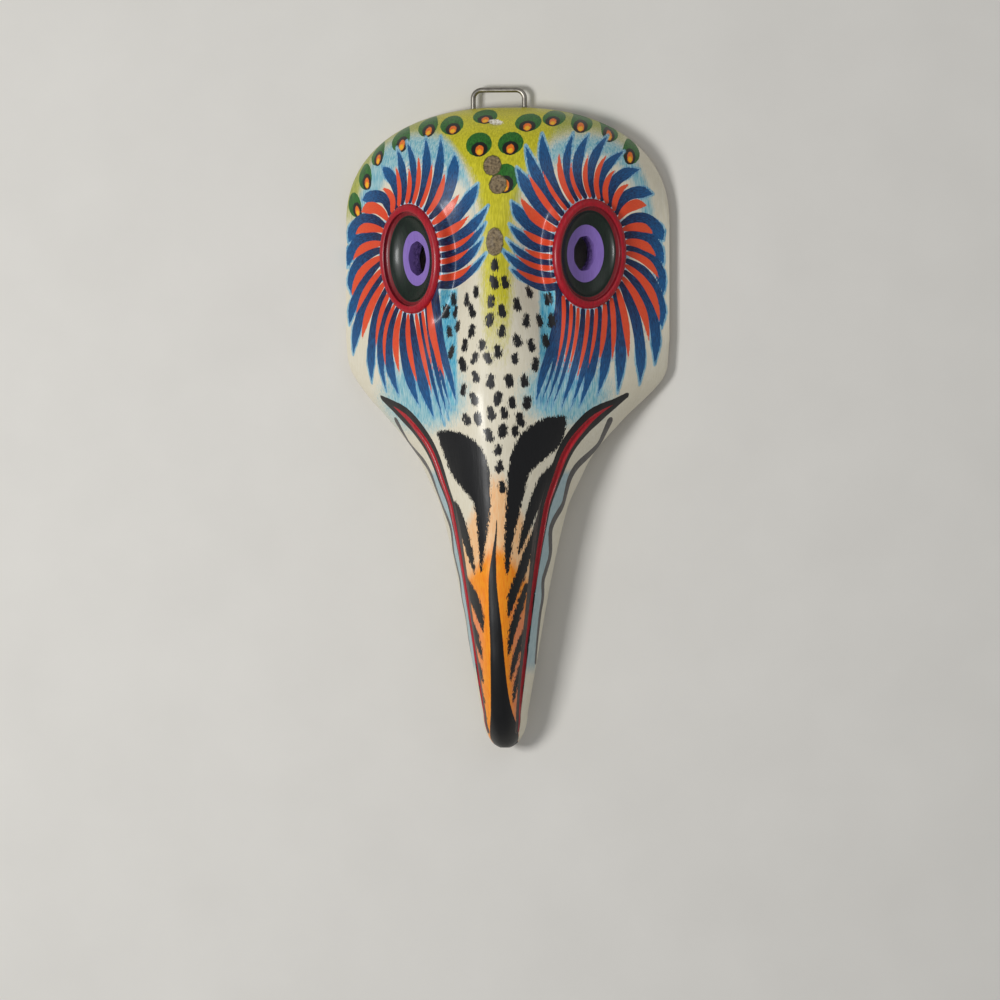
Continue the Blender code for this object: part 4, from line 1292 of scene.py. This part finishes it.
def drawn_steel():
    """Steel wire as it came from the drawing die: a dull grey gloss with fine lengthwise lines."""
    made, tree, shader = new_material("drawn_steel_wire", 0.34, 1.0)
    marks = grains(tree, {"cloudy": ((2.5, 2.5, 2.5), 4.0, 0.55), "lines": ((0.5, 0.5, 0.12), 3.0, 0.55)})
    colour = add(tree, "Mix", {0: marks["cloudy"], 6: linear("#6E675C"), 7: linear("#B3AFA6")}, out=2,
                 data_type="RGBA")
    tree.links.new(colour, shader.inputs["Base Color"])
    height = add(tree, "Math", {0: marks["lines"], 1: 0.03}, operation="MULTIPLY")
    relief = add(tree, "Bump", {"Height": height, "Distance": MM, "Strength": 0.6})
    tree.links.new(relief, shader.inputs["Normal"])
    rough = add(tree, "Math", {0: marks["cloudy"], 1: 0.22, 2: 0.24}, operation="MULTIPLY_ADD")
    tree.links.new(rough, shader.inputs["Roughness"])
    return made


def pale_floor():
    """A board with matt pale paint, a little cloudy."""
    made, tree, shader = new_material("matt_pale_board", 0.9)
    marks = grains(tree, {"cloudy": ((60.0, 60.0, 60.0), 4.0, 0.55)})
    colour = add(tree, "Mix", {0: marks["cloudy"], 6: linear("#D6D3CC"), 7: linear("#E0DDD6")}, out=2,
                 data_type="RGBA")
    tree.links.new(colour, shader.inputs["Base Color"])
    return made


def bend_hanger(steel):
    """The flat-topped staple, as round wire."""
    reach = (HANGER_WIDTH - WIRE) / 2
    top = CROWN_Y + HANGER_RISE - WIRE / 2 - HAIR
    foot = CROWN_Y - LEG_DEPTH
    rise = top - HANGER_BEND - foot
    centres = [(HANGER_X - reach, foot + rise * k / LEG_STEPS, HANGER_Z) for k in range(LEG_STEPS)]
    for side in SIDES:
        for k in range(HANGER_STEPS + 1):
            turn = pi / 2 * (k / HANGER_STEPS if side < 0 else 1 - k / HANGER_STEPS)
            centres.append((HANGER_X + side * (reach - HANGER_BEND + HANGER_BEND * cos(turn)),
                            top - HANGER_BEND + HANGER_BEND * sin(turn), HANGER_Z))
    centres += [(HANGER_X + reach, top - HANGER_BEND - rise * k / LEG_STEPS, HANGER_Z)
                for k in range(1, LEG_STEPS + 1)]
    return lofted("wire_hanger", round_rings(centres, [WIRE / 2] * len(centres), HANGER_SIDES), steel)


def smooth(obj):
    obj.data.shade_smooth()
    obj.data.set_sharp_from_angle(angle=SHARP_ANGLE)


def facing(spot_from, aim):
    """Places a camera or a light so that it looks from one place to another, with +Y up."""
    ahead = (Vector(aim) - Vector(spot_from)).normalized()
    right = ahead.cross(Vector((0, 1, 0))).normalized()
    above = right.cross(ahead)
    turned = Matrix((right, above, -ahead)).transposed().to_4x4()
    return Matrix.Translation(spot_from) @ turned


def link(obj):
    bpy.context.scene.collection.objects.link(obj)
    return obj


def set_camera():
    """Looks straight down on the mask, turned a little to one side, as the photograph does."""
    aside, up = spot(AIM_PX, AIM_PX)
    aim = (aside * MM / cos(CAMERA_YAW), up * MM, 0.0)
    away = Vector((sin(CAMERA_YAW), 0.0, cos(CAMERA_YAW))) * CAMERA_DISTANCE
    data = bpy.data.cameras.new("camera")
    data.sensor_width = SENSOR / MM
    data.lens = data.sensor_width * CAMERA_DISTANCE / (PHOTO_SIDE_PX * MM_PER_PX * MM)
    camera = link(bpy.data.objects.new("camera", data))
    camera.matrix_world = facing(Vector(aim) + away, aim)
    bpy.context.scene.camera = camera
    bpy.context.scene.view_settings.view_transform = "Standard"   # shows each paint in its own colour


def set_lights():
    """Soft light from a window on the left, a weaker one from the right, and an even pale room."""
    for name, place, size, watts in LIGHTS:
        data = bpy.data.lights.new(name, "AREA")
        data.size = size
        data.energy = watts
        link(bpy.data.objects.new(name, data)).matrix_world = facing(place, (0, 0, 0))
    world = bpy.data.worlds.new("pale_room")
    world.use_nodes = True
    background = world.node_tree.nodes["Background"]
    background.inputs["Color"].default_value = linear("#E8EAEE")
    background.inputs["Strength"].default_value = ROOM_LIGHT
    bpy.context.scene.world = world


def lay_floor():
    square = ((-1, -1), (1, -1), (1, 1), (-1, 1))
    corners = [(FLOOR_REACH * x, FLOOR_REACH * y, FLOOR_DROP) for x, y in square]
    floor = mesh_object("floor", corners, [(0, 1, 2, 3)], pale_floor())


set_camera()
set_lights()
lay_floor()
mask, grid, grid_arc = carve_mask(painted_softwood(), bare_softwood())
lay_paint(mask, grid, grid_arc)
smooth(mask)
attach(mask, "root")
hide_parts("mask")
hanger = bend_hanger(drawn_steel())
smooth(hanger)
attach(hanger, "root")
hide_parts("hanger")
